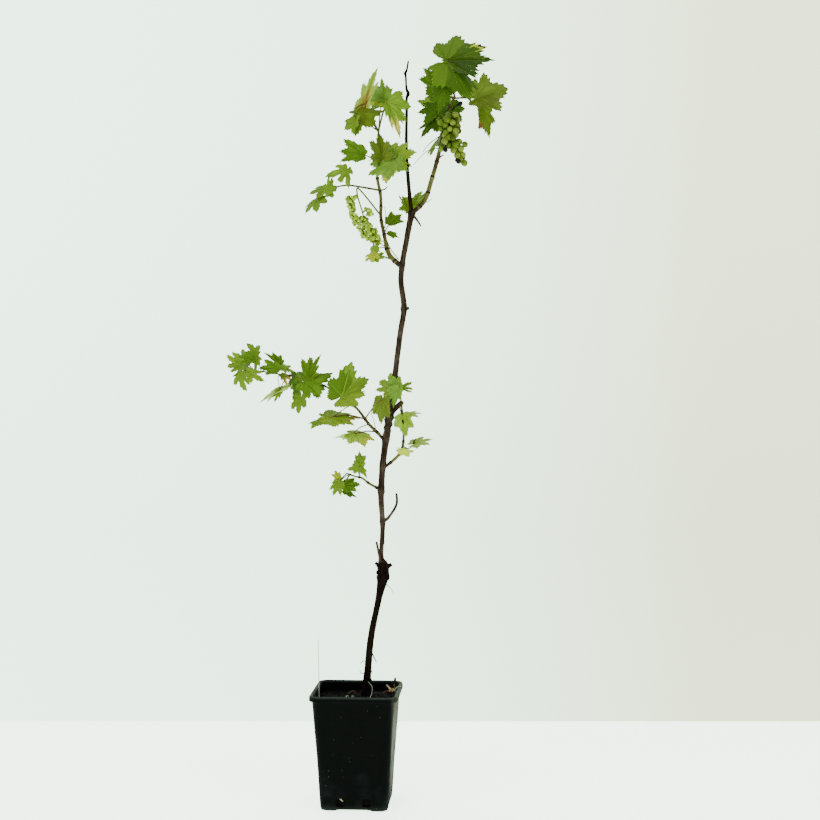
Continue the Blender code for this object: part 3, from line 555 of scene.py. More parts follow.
def nodeRelief(places):  # a bell curve at each node, steeper above it than below, over faint twisted ribs
    def relief(angle, length):
        count, tall, twist = nodeForm["ribs"]
        height = tall * np.cos(count * angle + length / twist)
        for place in places:
            off = length - place
            reach = np.where(off > 0, nodeForm["above"], nodeForm["below"])
            height = height + nodeForm["swelling"] * np.exp(-(off / reach) ** 2)
        return height
    return relief


# Leaves

stalkForm = {
    "around": 8,
    "bowWay": (0, -0.6, 0.8),
    "bow": (0.06, 0.14),  # against the stalk's length
    "radius": (0.85, 1 / 115),  # and more for each millimetre of the leaf
    "early": (0.1, 0.3),  # share of the way to the second point, and of the bow there
    "swellings": (1.5, 1.05, 0.9, 0.85),  # at the foot, the second point, the middle and the blade
    "step": 1.6,
}
leafForm = {
    "edge": (  # angle from the midrib, and reach
        (0, 1), (8.3, 0.92), (16.7, 0.84), (25, 0.84), (33.3, 0.83), (41.7, 0.89), (50, 0.95), (58.3, 0.87),
        (66.7, 0.77), (75, 0.73), (83.3, 0.72), (91.7, 0.77), (100, 0.80), (108.3, 0.74), (116.7, 0.65),
        (125, 0.58), (137, 0.55), (150, 0.55), (161, 0.49), (169, 0.38), (175, 0.18),
    ),
    "bays": ((25, 1), (75, 0.85), (125, 0.3)),  # angle, and share of the cut
    "edgeChance": (0.95, 1.04), "cutChance": (0.85, 1.1),  # seeded shares of the reach and the cut
    "deepestCut": 0.46,
    "cutEase": 0.0045,  # less of a cut for each millimetre of length
    "bayWidth": (3, 6.5),  # degrees, and more for a deeper cut
    "smallUnder": 30,  # shorter leaves have a coarser grid and larger teeth
    "grid": ((11, 25 / 3), (7, 12.5)),  # rows and degrees of a tooth, for a large leaf and a small one
    "toothDepth": 0.125,
    "teethEnd": (172, 20),  # angle without teeth, and degrees over which they fade
    "wholeTip": (5.5, 0.85),  # degrees beside a lobe's tip with smaller teeth, and how much smaller
    "veins": (-150, -100, -50, 0, 50, 100, 150),
    "plainGrowth": 92,  # percent of the reach, of outer lobes that a row leaves out
    "halfSector": 25,
    "veinWidth": 0.011,
    "veinEnd": 0.3,  # share of that width at the edge
    "veinShare": 0.7,  # most of a half sector that a vein fills
    "crowding": 0.85,  # power that brings rows together towards the edge
    "thickness": 0.3,
    # heights and widths against the leaf's length
    "droop": (0.08, 0.2),
    "crease": 0.04,
    "pillow": (0.035, 0.15, 0.4),  # height, half width, and how much of it is lost at the edge
    "groove": (0.012, 0.02, 0.6),  # depth, width, and how much of it is lost at the edge
    "ribs": (0.12, 0.9, 0.007),  # spacing, slant and depth of the herringbone side veins
    "ribWidths": (0.09, 0.014, 0.04),  # of a space and a rib, and how far from a vein a rib is whole
    "wave": (0.022, 7, 0.6),  # height, waves round the leaf, and the steady share
    "curl": (-0.05, 0.07),
    "sway": 3,  # degrees of seeded lean
    "clouds": (0.21, 9, 0.05, 0.4),  # change by degree, outwards and aslant, and where the tone turns
    "ragged": ((0.04, 0.21), (0.025, 0.6)),  # a patch's edge: heights, and change by degree
    "twoTonedFrom": 33,  # longer leaves have those lighter clouds
    "bothSides": ("rust", "scorch", "beige", "tan", "yellow"),  # withered patches show on both sides
    "darkBlades": ("deepest", "deepOlive", "dark", "mid", "olive", "greyOlive"),  # whose veins are darker
}


def lobesOf(lobes):  # bearing and growth of seven lobes, with plain outer ones where a row has fewer
    veins = np.array(leafForm["veins"], float)
    if not lobes:
        return veins, np.ones(7)
    own = np.reshape(lobes, (-1, 2)).T
    spare = (7 - own.shape[1]) // 2
    plain = [leafForm["plainGrowth"]] * spare
    bearings = np.concatenate([veins[:spare], own[0], veins[7 - spare:]])
    return bearings, np.concatenate([plain, own[1], plain]) / 100


def leafGrid(small):
    # Columns keep to either side of seven veins at a distance that shrinks outwards, and
    # rows are shares of the reach, closer together towards the edge
    rows, pitch = leafForm["grid"][small]
    half = leafForm["halfSector"]
    rimVein = np.degrees(leafForm["veinWidth"] * leafForm["veinEnd"])
    offsets = np.concatenate([[0, rimVein], np.arange(0, half + 0.01, pitch / 4)[1:]])
    share = ((np.arange(1, rows + 1) / rows) ** leafForm["crowding"])[:, None]
    veinHalf = leafForm["veinWidth"] * (1 - (1 - leafForm["veinEnd"]) * share)
    flank = np.clip(np.degrees(veinHalf / share), 0, half * leafForm["veinShare"])
    spread = np.where(offsets > rimVein, flank + (offsets - rimVein) * (half - flank) / (half - rimVein), 0)
    spread = np.where(offsets == rimVein, flank, spread)
    sector = np.hstack([-spread[:, :0:-1], spread])
    columns = sector.shape[1]
    keep = np.arange(7 * columns) % columns > 0  # two sectors share a column
    keep[0] = True
    angle = np.hstack([sector + vein for vein in leafForm["veins"]])[:, keep]
    return share, angle, angle - np.repeat(leafForm["veins"], columns)[keep], pitch


def leafShape(place, length, aim, lean, roll, fold, look, lobes, cut, patches, rng):
    # A polar grid round the stalk's end, whose rows are shares of the toothed edge's reach.
    # Height is the fold's slope, less a droop with the reach squared, plus a pillow
    # between the veins, less grooves on them, plus a wave and a curl at the edge.
    share, angle, off, pitch = leafGrid(length < leafForm["smallUnder"])
    corners = np.array(leafForm["edge"])
    corners[:-1, 1] *= rng.uniform(*leafForm["edgeChance"], len(corners) - 1)
    smoothRim = np.interp(np.abs(angle), corners[:, 0], corners[:, 1])
    cut = leafForm["deepestCut"] - leafForm["cutEase"] * length if cut is None else cut / 100
    wide = leafForm["bayWidth"][0] + leafForm["bayWidth"][1] * cut
    for bay, part in leafForm["bays"]:
        depth = cut * part * rng.uniform(*leafForm["cutChance"])
        smoothRim = smoothRim * (1 - depth * np.exp(-((np.abs(angle) - bay) / wide) ** 2))
    bearings, growth = lobesOf(lobes)
    half, veins = leafForm["halfSector"], leafForm["veins"]
    ends = [bearings[0] - half, *bearings, bearings[-1] + half]
    bearing = np.radians(np.interp(angle, [veins[0] - half, *veins, veins[-1] + half], ends))
    smoothRim = smoothRim * np.interp(angle, veins, growth)
    wave = np.abs((np.abs(angle) / pitch) % 1 - 0.5) * 2
    last, fade = leafForm["teethEnd"]
    tooth = leafForm["toothDepth"] * np.clip((last - np.abs(angle)) / fade, 0, 1)
    tip, smaller = leafForm["wholeTip"]
    tooth = tooth * (1 - smaller * np.exp(-(off / tip) ** 2))
    rim = smoothRim * (1 - tooth * (1 - wave))
    reach = share * (smoothRim * (1 - tooth / 2) * (1 - share**4) + rim * share**4)

    turn, bend = np.radians(off), np.radians(fold)
    across, along = reach * np.abs(np.sin(turn)), reach * np.cos(turn)
    out, side = np.cos(bearing) * reach, np.sin(bearing) * reach
    droop = rng.uniform(*leafForm["droop"])
    phase = rng.uniform(0, 6.28, 4)  # starts within a full turn
    crease = leafForm["crease"]
    rise = np.sin(bend) * (np.sqrt(side**2 + crease**2) - crease) - droop * reach**2
    tall, wide, lost = leafForm["pillow"]
    rise = rise + tall * np.sin(np.minimum(1, across / wide) * np.pi / 2) * (1 - lost * share)
    deep, wide, lost = leafForm["groove"]
    rise = rise - deep * np.exp(-(across / wide) ** 2) * (1 - lost * share)
    spacing, slant, deep = leafForm["ribs"]
    space, wide, whole = leafForm["ribWidths"]
    herring = (along - slant * across) / spacing
    rib = np.abs(herring - np.round(herring)) * space
    rise = rise - deep * np.exp(-(rib / wide) ** 2) * np.minimum(1, across / whole)
    tall, count, steady = leafForm["wave"]
    swing = np.sin(np.radians(angle) * count + phase[0]) * (steady + (1 - steady) * np.sin(phase[1]))
    rise = rise + tall * share**3 * swing
    rise = rise + rng.uniform(*leafForm["curl"]) * share**3 * np.cos(turn * (90 / half))

    aim, lean, roll = np.radians([aim, lean, roll])
    ribWay = np.array([np.cos(aim) * np.cos(lean), -np.sin(lean), np.sin(aim) * np.cos(lean)])
    face = unit(np.array([0, -1, 0]) + ribWay * ribWay[1])
    face = np.array(Matrix.Rotation(roll, 3, ribWay.tolist())) @ face
    acrossWay = np.cross(face, ribWay)
    flat = place + length * (out[..., None] * ribWay + (side * np.cos(bend))[..., None] * acrossWay)
    thick = leafForm["thickness"] / 2
    sheets = [flat + (length * rise + t)[..., None] * face for t in (thick, -thick)]
    verts = np.vstack([*(s.reshape(-1, 3) for s in sheets), place + np.outer([thick, -thick], face)])

    count, hub = angle.shape[1], 2 * angle.size
    front = np.arange(angle.size).reshape(angle.shape)
    back = front + angle.size  # the lower surface shares the edge's points
    back[-1], back[:, 0], back[:, -1] = front[-1], front[:, 0], front[:, -1]
    quads, fans = [], []
    for side, n in enumerate((front, back)):
        quads.append(np.stack([n[:-1, :-1], n[1:, :-1], n[1:, 1:], n[:-1, 1:]], -1).reshape(-1, 4))
        fans.append(np.stack([np.full(count - 1, hub + side), n[0, :-1], n[0, 1:]], -1))
    mouth = np.array([[hub, hub + 1, front[0, 0]], [hub + 1, hub, front[0, -1]]])

    midAngle = (angle[:-1, :-1] + angle[1:, 1:]) / 2
    midShare = (share[:-1] + share[1:]) / 2 + 0 * midAngle
    turning, outwards, aslant, least = leafForm["clouds"]
    tone = np.sin(midAngle * turning + phase[2]) + np.sin(midShare * outwards + midAngle * aslant + phase[3])
    lightened = (tone > least) & (length > leafForm["twoTonedFrom"])
    looks = np.where(lightened, lookOf[look + "Light"], lookOf[look])
    underLooks = lookOf["under"] + 0 * looks
    (large, slow), (small, quick) = leafForm["ragged"]
    ragged = large * np.sin(midAngle * slow + phase[1]) + small * np.sin(midAngle * quick + phase[0])
    for start, end, depth, tint in patches:
        inside = (midAngle > start) & (midAngle < end)
        inside &= midShare + ragged > depth if depth >= 0 else midShare + ragged < -depth
        looks = np.where(inside, lookOf[tint], looks)
        underLooks = np.where(inside & (tint in leafForm["bothSides"]), lookOf[tint], underLooks)
    onVein = (off[0, :-1] == 0) | (off[0, 1:] == 0)
    veinLook = lookOf["veinDark" if look in leafForm["darkBlades"] else "vein"]
    looks = np.where(onVein, veinLook, looks)
    underLooks = np.where(onVein, lookOf["underVein"], underLooks)
    groups = [
        (quads[0], looks.ravel()),
        (quads[1][:, ::-1], underLooks.ravel()),
        (fans[0], np.where(onVein, veinLook, lookOf[look])),
        (fans[1][:, ::-1], underLooks[0]),
        (mouth, lookOf["under"]),
    ]
    used, order = np.unique(np.concatenate([faces.ravel() for faces, _ in groups]), return_inverse=True)
    parts = np.split(order, np.cumsum([faces.size for faces, _ in groups])[:-1])
    return verts[used], [(part.reshape(faces.shape), tint) for part, (faces, tint) in zip(parts, groups)]


def leafStalk(foot, place, length, rng):  # bowed forward and up between its node and the blade
    bow = np.array(stalkForm["bowWay"]) * np.linalg.norm(place - foot) * rng.uniform(*stalkForm["bow"])
    near, bent = stalkForm["early"]
    places = [foot, foot * (1 - near) + place * near + bow * bent, (foot + place) / 2 + bow, place]
    radius = stalkForm["radius"][0] + length * stalkForm["radius"][1]
    rows = np.column_stack([places, radius * np.array(stalkForm["swellings"])])
    return tube(evenRoute(rows, stalkForm["step"]), stalkForm["around"], look=rng.integers(2))


def leavesOf(parts, nodes):
    # Every leaf of these tables, each on a stalk from its nearest node, where a node above
    # the leaf counts as further away
    blades, stalks = [], []
    for part in parts:
        rng = np.random.default_rng([seed, *part.encode()])
        for x, y, z, length, aim, lean, roll, fold, look, *more in foliage[part]:
            place = seen((x, y, z))
            lean = lean + rng.uniform(-leafForm["sway"], leafForm["sway"])
            gap = np.linalg.norm(nodes - place, axis=1) + np.maximum(0, nodes[:, 2] - place[2])
            lobes, cut, patches = *more, *((), None, ())[len(more):]
            blades.append(leafShape(place, length, aim, lean, roll, fold, look, lobes, cut, patches, rng))
            stalks.append(leafStalk(nodes[gap.argmin()], place, length, rng))
    return blades, stalks


# Grapes

grapeForm = {
    "around": 14, "rows": 11,
    "scarAt": 0.965,  # share of the way round to the dry scar
    "long": (1.06, 1.03),  # how far the stalk's end and the scar's stand out, against the radius
    "tries": 90,  # for each grape
    "squeeze": 1.8,  # how far two grapes may press into each other
    "armThick": (1.6, 1),
    "weight": 9,  # how far a grape hangs straight down, against its distance from the arm
    "stalkRise": 4,  # how far up the arm a grape's stalk leaves it
    "stalkThick": (0.5, 0.4, 0.6),
    "stalkEnd": 0.95,  # how far from a grape's middle its stalk ends, against the radius
    "armAround": 8, "stalkAround": 6, "step": 1.5,
    "sizes": (0.8, 1.05), "out": (0.35, 1), "rise": (-0.5, 0.3),  # seeded size, reach and rise from the arm
    "aside": (0.3, 0.2, 0.93),  # any direction, from which the rings of a grape are turned
}


def ball(centre, radius, way, look, scar):
    # A sphere as a grid of angles round and along the line from stalk to scar, a little
    # longer than wide, whose last rows are the dry scar
    around, rows = grapeForm["around"], grapeForm["rows"]
    over = unit(np.cross(way, grapeForm["aside"]))
    side = np.cross(over, way)
    polar = np.append(np.arange(1, rows - 1) / (rows - 1), grapeForm["scarAt"])[:, None] * np.pi
    turn = np.arange(around)[None] * 2 * np.pi / around
    ring = np.sin(polar)[..., None] * (np.cos(turn)[..., None] * over + np.sin(turn)[..., None] * side)
    top, foot = grapeForm["long"]
    skin = centre + radius * (ring - top * np.cos(polar)[..., None] * way)
    poles = centre + np.outer([-top, foot], way) * radius
    quads, fans = gridFaces(rows - 1, around)
    groups = [(quads.reshape(-1, 4), look), (fans, np.repeat([look, scar], around))]
    return np.vstack([skin.reshape(-1, 3), poles]), groups


def bunchShapes(arm, goal, size, spread, bare, lines, rng, placed):
    # Grapes at seeded places round the hanging end of an arm, none closer to another
    # than their radii, each on a stalk that leaves the arm a little above it
    knots = seen(arm)
    feet = [at(line, [nearest(line, knots[0])])[0, :3] for line in lines]
    foot = min(feet, key=lambda p: np.linalg.norm(p - knots[0]))
    thick = np.linspace(*grapeForm["armThick"], len(knots))
    arm = evenRoute(np.column_stack([np.vstack([foot, knots[1:]]), thick]), grapeForm["step"])
    total = lengthsOf(arm)[-1]
    stalks, balls = [tube(roundTip(arm), grapeForm["armAround"])], []
    wide, narrow = spread
    for _ in range(grapeForm["tries"] * goal):
        share = rng.uniform(bare, 1)
        hub = at(arm, [share * total])[0, :3]
        reach = wide + (narrow - wide) * (share - bare) / (1 - bare)
        turn = rng.uniform(0, 2 * np.pi)
        way = unit(np.array([np.cos(turn), np.sin(turn), rng.uniform(*grapeForm["rise"])]))
        radius = size / 2 * rng.uniform(*grapeForm["sizes"])
        centre = hub + way * reach * rng.uniform(*grapeForm["out"])
        if all(np.linalg.norm(centre - other) > radius + r - grapeForm["squeeze"] for other, r in placed):
            placed.append((centre, radius))
            hang = unit(centre - hub - [0, 0, grapeForm["weight"]])
            balls.append(ball(centre, radius, hang, rng.integers(4), 4))
            start = at(arm, [max(0, share * total - grapeForm["stalkRise"])])[0, :3]
            top = centre - hang * radius * grapeForm["stalkEnd"]
            rows = np.column_stack([[start, (start + top) / 2 + [0, 0, 1], top], grapeForm["stalkThick"]])
            stalks.append(tube(evenRoute(rows, grapeForm["step"]), grapeForm["stalkAround"]))
        if len(balls) == goal:
            break
    return balls, stalks, arm


# Pot

potForm = {
    "turn": -4,  # degrees about the upright axis
    "profile": (  # half width, corner radius and height, from under the middle round to the floor inside
        (30, 8, 0), (42, 9, 0), (42.4, 9, 0), (54.6, 12, 0), (56, 13, 0.6), (56.3, 13, 2.6), (56.7, 13, 5.5),
        (57.1, 13, 8), (57.3, 13, 11.2), (57.6, 13, 14.5), (57.8, 13, 17.8), (58, 13, 21), (59, 13, 34),
        (60.6, 13, 62), (62.7, 13, 96), (64.8, 13, 128), (66.9, 13, 158), (68.4, 13, 178), (69, 13.2, 184.2),
        (69.9, 13.8, 185.4), (71.6, 15.4, 185.2), (72.8, 16.6, 183.9), (73.7, 17.4, 183.9),
        (74.1, 17.8, 185.2), (74, 17.7, 188.6), (73.6, 17.3, 191.2), (72.6, 16.4, 192.7), (71, 15, 193),
        (69.2, 13.4, 192.3), (67.6, 12, 190.4), (66.9, 11.3, 187), (66.6, 11, 183), (65.6, 10.8, 168),
        (62.8, 10.8, 128), (60.2, 10.8, 90), (57.6, 10.8, 50), (55.8, 10.8, 21), (55.6, 10.8, 17.8),
        (55.4, 10.8, 14.5), (55.1, 10.8, 11.2), (54.9, 10.8, 8), (54.5, 10.8, 3.4), (30, 8, 3.2),
    ),
    "alongWall": (-31, -28, -24.7, -21.5, -18.3, -15, -11, -5.5, 0, 5.5, 11, 15, 18.3, 21.5, 24.7, 28, 31),
    "cornerPoints": 7,
    "holes": ((-28, -15), (15, 28)),  # across a wall
    "holeHeights": (8, 21),
    "arch": (31, 2.5),  # half width and height of the arch under each wall
    "archRows": ((2, 1), (3, 1), (4, 0.9)),  # rows of the profile that rise, and their share
    "wallRows": (5, 36),  # rows that bulge, because thin walls are never quite flat
    "bulge": 0.5 / 70,
    "bulgeWaves": (61, 33, 29, 41),  # lengths up the wall, and up, along and across for the second
}


def squareRing(half, radius, z):  # points round a square with round corners: a wall, then a quarter circle
    flat, between = half - radius, potForm["cornerPoints"]
    wall = np.concatenate([[-flat], np.clip(potForm["alongWall"], -flat, flat), [flat]])
    arc = np.radians(np.arange(1, between + 1) * 90 / (between + 1))
    x = np.concatenate([wall, flat + radius * np.sin(arc)])
    y = np.concatenate([np.full(len(wall), -half), -flat - radius * np.cos(arc)])
    turns = np.radians(90 * np.arange(4) + potForm["turn"])[:, None]
    return np.stack([(x * np.cos(turns) - y * np.sin(turns)).ravel(),
                     (x * np.sin(turns) + y * np.cos(turns)).ravel(), np.full(4 * len(x), float(z))], -1)


def lofted(rings, gaps=None):  # quads between rings but for the gaps, and a fan at each end
    quads, fans = gridFaces(len(rings), len(rings[0]))
    kept = quads.reshape(-1, 4) if gaps is None else quads[~gaps]
    return np.vstack([*rings, rings[0].mean(axis=0), rings[-1].mean(axis=0)]), [(kept, 0), (fans, 0)]


def potShape():
    # The profile as rings of one loft. An arch lifts the foot by 1 less the sixth power of
    # the way across, and each drain hole is left out of both walls and lined with quads.
    profile, alongWall = np.array(potForm["profile"]), np.array(potForm["alongWall"])
    rings = [squareRing(*row) for row in profile]
    around = len(rings[0])
    wide, tall = potForm["arch"]
    corner = [wide] * (potForm["cornerPoints"] + 1)  # no arch there
    across = np.tile(np.concatenate([[wide], alongWall, corner]), 4)
    lift = tall * (1 - np.minimum(1, np.abs(across) / wide) ** 6)
    for row, part in potForm["archRows"]:
        rings[row][:, 2] += lift * part
    for ring in rings[slice(*potForm["wallRows"])]:
        x, y, z = ring.T
        high, up, along, back = potForm["bulgeWaves"]
        swell = np.sin(z / high) * np.sin(z / up + x / along + y / back)
        ring[:, :2] *= 1 + swell[:, None] * potForm["bulge"]
    low, high = potForm["holeHeights"]
    steps = list(zip(profile[:, 2], profile[1:, 2]))  # the heights at both ends of each band of quads
    outer = [i for i, (foot, top) in enumerate(steps) if low <= foot < top <= high]
    inner = [i for i, (top, foot) in enumerate(steps) if low <= foot < top <= high]
    foot, inFoot, top, inTop = outer[0], inner[-1] + 1, outer[-1] + 1, inner[0]
    gaps, lining = np.zeros((len(profile) - 1, around), bool), []
    for side in range(4):
        for span in potForm["holes"]:
            first, last = (side * around // 4 + 1 + int(np.searchsorted(alongWall, x)) for x in span)
            gaps[np.ix_(outer + inner, range(first, last))] = True
            for j in range(first, last):
                lining += [((foot, j), (foot, j + 1), (inFoot, j + 1), (inFoot, j)),
                           ((top, j + 1), (top, j), (inTop, j), (inTop, j + 1))]
            for a, b in zip(outer, inner[::-1]):
                lining += [((a, first), (b + 1, first), (b, first), (a + 1, first)),
                           ((b + 1, last), (a, last), (a + 1, last), (b, last))]
    verts, groups = lofted(rings, gaps)
    return verts, [*groups, (np.array(lining) @ [around, 1], 0)]  # from ring and place on it to point


# Growing mix

soilForm = {
    "top": 176,
    "swells": ((7.5, 34, 4, 900), (-3, -40, 0, 1500)),  # height, x, y and width squared
    "waves": ((1.1, 7.3, 8.1), (0.7, 3.1, 4.7), (0.4, 1.3, 1.9)),  # height, and lengths along x and y
    # half width, corner radius and height, as in the pot's profile
    "body": ((30, 8, 4), (54, 10.4, 4.2), (55.2, 10.4, 21), (58.4, 10.4, 75), (65.2, 10.4, 172)),
    "edge": (65.8, 10.4, 178),
    "rings": (34, 0.02, 0.9),  # number, share of the edge at the innermost, and power of their spacing
    "strewn": 61,  # how far from the middle lumps lie
    "crumbs": (420, 1.9, 0.8),  # number, size and flatness
    "chips": (120, 2.6, 0.45),
    "lumpSizes": (0.4, 1, 1.5),  # least, most, and the power that makes most of them small
    "lumpAxes": (0.5, 1.3), "lumpCorners": (0.7, 1.25),  # seeded shares
    "lumpLength": 1.6, "lumpTilt": 0.4, "lumpAbove": 0.3,
}


def soilHeight(x, y):
    # A heap on the right and a hollow on the left, both bell curves, plus waves of three sizes
    (tall, longX, longY), (low, shortX, shortY), (fine, fineX, fineY) = soilForm["waves"]
    height = tall * np.sin(x / longX + 1) * np.sin(y / longY) + low * np.sin(x / shortX + y / shortY)
    height = height + soilForm["top"] + fine * np.sin(x / fineX - y / fineY)
    for tall, midX, midY, wide in soilForm["swells"]:
        height = height + tall * np.exp(-((x - midX) ** 2 + (y - midY) ** 2) / wide)
    return height


def soilShape():  # rings up inside the pot's wall, then shrinking ones over the heaped surface
    rings = [squareRing(*row) for row in soilForm["body"]]
    edge = squareRing(*soilForm["edge"])
    count, least, power = soilForm["rings"]
    for share in np.linspace(1, least, count) ** power:
        ring = edge * [share, share, 1]
        ring[:, 2] = soilHeight(ring[:, 0], ring[:, 1])
        rings.append(ring)
    return lofted(rings)


def turned(a, b, angle):  # a pair of coordinates turned: a cos + b sin, and b cos - a sin
    c, s = np.cos(angle)[:, None], np.sin(angle)[:, None]
    return a * c + b * s, b * c - a * s


def lumps(count, size, flatness, rng, look):
    # Rough eight-sided lumps strewn on the mix: corners on three axes times seeded scales,
    # tilted, turned and set on the surface
    corners = np.array([(1, 0, 0), (0, 1, 0), (-1, 0, 0), (0, -1, 0), (0, 0, 1), (0, 0, -1)], float)
    faces = np.array([(0, 1, 4), (1, 2, 4), (2, 3, 4), (3, 0, 4), (1, 0, 5), (2, 1, 5), (3, 2, 5), (0, 3, 5)])
    x, y = rng.uniform(-soilForm["strewn"], soilForm["strewn"], (2, count))
    least, most, power = soilForm["lumpSizes"]
    scale = rng.uniform(least, most, (count, 1, 1)) ** power * size
    scale = scale * rng.uniform(*soilForm["lumpAxes"], (count, 1, 3)) * [soilForm["lumpLength"], 1, flatness]
    turn, tilt = rng.uniform(0, 2 * np.pi, count), rng.normal(0, soilForm["lumpTilt"], count)
    shape = corners * scale * rng.uniform(*soilForm["lumpCorners"], (count, len(corners), 1))
    px, pz = turned(shape[..., 0], shape[..., 2], tilt)
    py, px = turned(shape[..., 1], px, turn)
    ground = soilHeight(x, y)[:, None] + soilForm["lumpAbove"]
    verts = np.stack([px + x[:, None], py + y[:, None], pz + ground], -1)
    firsts = np.arange(count)[:, None, None] * len(corners)
    return verts.reshape(-1, 3), [((faces + firsts).reshape(-1, 3), look)]


# The vine

vineBark, tree, shader = newMaterial("vineBark", "#382a1f", 0.9, 0.03)
# Old vine bark peels in fibrous strips 2 to 4 mm wide: near black on the rootstock,
# grey-brown above the graft, and black again on the dead leader
place = addNode(tree, "TexCoord").outputs["Object"]
fibre = addNode(tree, "Mapping", {"Scale": (420, 420, 38), "Vector": place})
strips = {"Scale": 1, "Detail": 6, "Roughness": 0.62, "Distortion": 0.3, "Vector": fibre}
strips = addNode(tree, "TexNoise", strips)
cloudy = addNode(tree, "TexNoise", {"Scale": 38, "Detail": 3, "Vector": place})
height = addNode(tree, "SeparateXYZ", {"Vector": place}).outputs["Z"]
climb = addNode(tree, "MapRange", {"From Min": 0.18, "From Max": 1.28, "Value": height})
tone = addNode(tree, "ValToRGB", {"Fac": climb}, stops=(
    (0, "#140c05"), (0.12, "#1b1107"), (0.165, "#120806"), (0.2, "#150a07"), (0.222, "#3a2c24"),
    (0.4, "#3e3029"), (0.62, "#3c3027"), (0.72, "#3c3027"), (0.76, "#281e16"), (0.84, "#120e0a"),
    (1, "#0c0908")))
shade = addNode(tree, "ValToRGB", {"Fac": strips}, stops=(
    (0.3, "#2e2a28"), (0.45, "#8c8580"), (0.56, "#d8d2cb"), (0.72, "#ffffff")))
mixed = addNode(tree, "Mix", {"Factor": 1, "A": tone, "B": shade}, data_type="RGBA", blend_type="MULTIPLY")
grey = addNode(tree, "ValToRGB", {"Fac": cloudy}, stops=((0.5, "#000000"), (0.68, "#8f8f8f")))
bare = addNode(tree, "ValToRGB", {"Fac": climb}, stops=(
    (0.215, "#000000"), (0.235, "#ffffff"), (0.6, "#ffffff"), (0.66, "#000000")))
worn = addNode(tree, "Math", {0: grey, 1: bare}, operation="MULTIPLY")
worn = addNode(tree, "Mix", {"B": linear("#5f5950"), "Factor": worn, "A": mixed}, data_type="RGBA")
cover(tree, shader, worn, strips, 0.7, 0.0009)

trunkRoute, trunkParts = trunkShapes()
addPiece("trunk_bark", trunkParts, [vineBark], ["trunk"])
for dead, size in woodForm["deadWood"].items():
    route = fromLimb(trunkRoute, seen(limbs[dead]), *woodForm["deadFoot"])
    shape = tube(route, woodForm["around"]["dead"], relief=woodRelief(size))
    addPiece(dead + "_bark", [shape], [vineBark], [dead])


# Pot and mix

potPlastic, tree, shader = newMaterial("blackPolypropylene", "#050606", 0.6, 0.02)
# Moulded recycled polypropylene: nearly black, with dry water marks and dust that thicken towards the foot,
# paler rubbed wear at the foot, painted highlights on the lip's top and the right-hand wall, and a few pale
# specks
place = addNode(tree, "TexCoord").outputs["Object"]
cloudy = addNode(tree, "TexNoise", {"Scale": 26, "Detail": 5, "Roughness": 0.6, "Vector": place})
split = addNode(tree, "SeparateXYZ", {"Vector": place})
low = addNode(tree, "MapRange", {"From Min": 0.1, "From Max": 0, "To Max": 0.16, "Value": split.outputs["Z"]})
dusty = addNode(tree, "Math", {0: cloudy, 1: low}, operation="ADD")
film = addNode(tree, "ValToRGB", {"Fac": dusty}, stops=(
    (0.5, "#020303"), (0.62, "#030404"), (0.74, "#080b0c"), (0.9, "#121718")))
# painted highlight: from x = 57.5 mm outwards, the right-hand wall turns a lighter olive grey in patches, for
# the light falling on that side
side = addNode(tree, "MapRange", {"From Min": 0.0575, "From Max": 0.0625, "Value": split})
side = addNode(tree, "Math", {0: side, 1: cloudy}, operation="MULTIPLY")
film = addNode(tree, "Mix", {"B": linear("#2f2e27"), "Factor": side, "A": film}, data_type="RGBA")
# paler rubbed wear over the lowest 12 mm of the foot, and a painted highlight in the same grey over the top 4
# mm of the lip
share = addNode(tree, "MapRange", {"From Min": 0, "From Max": 0.193, "Value": split.outputs["Z"]})
footWearAndLipHighlight = addNode(tree, "ValToRGB", {"Fac": share}, stops=(
    (0, "#c8c8c8"), (0.03, "#6a6a6a"), (0.06, "#000000"), (0.98, "#000000"), (1, "#ffffff")))
wearAndHighlightShare = addNode(tree, "Math", {0: footWearAndLipHighlight, 1: cloudy}, operation="MULTIPLY")
film = addNode(tree, "Mix", {"B": linear("#3c4240"), "Factor": wearAndHighlightShare, "A": film}, data_type="RGBA")
grit = addNode(tree, "TexVoronoi", {"Scale": 95, "Vector": place})
speck = addNode(tree, "ValToRGB", {"Fac": grit}, stops=(
    (0, "#9a9d96"), (0.035, "#9a9d96"), (0.05, "#000000")))
both = addNode(tree, "Mix", {"Factor": 0.35, "A": film, "B": speck}, data_type="RGBA", blend_type="ADD")
peel = addNode(tree, "TexNoise", {"Scale": 500, "Detail": 2, "Vector": place})
cover(tree, shader, both, peel, 0.12, 0.0003)
matt = {"From Min": 0.4, "From Max": 0.8, "To Min": 0.5, "To Max": 0.8, "Value": dusty}
matt = addNode(tree, "MapRange", matt)
tree.links.new(socketOf(matt), shader.inputs["Roughness"])
addPiece("nursery_pot", [potShape()], [potPlastic], ["pot"])

pottingMix, tree, shader = newMaterial("peatMix", "#0c0705", 0.95, 0.05)
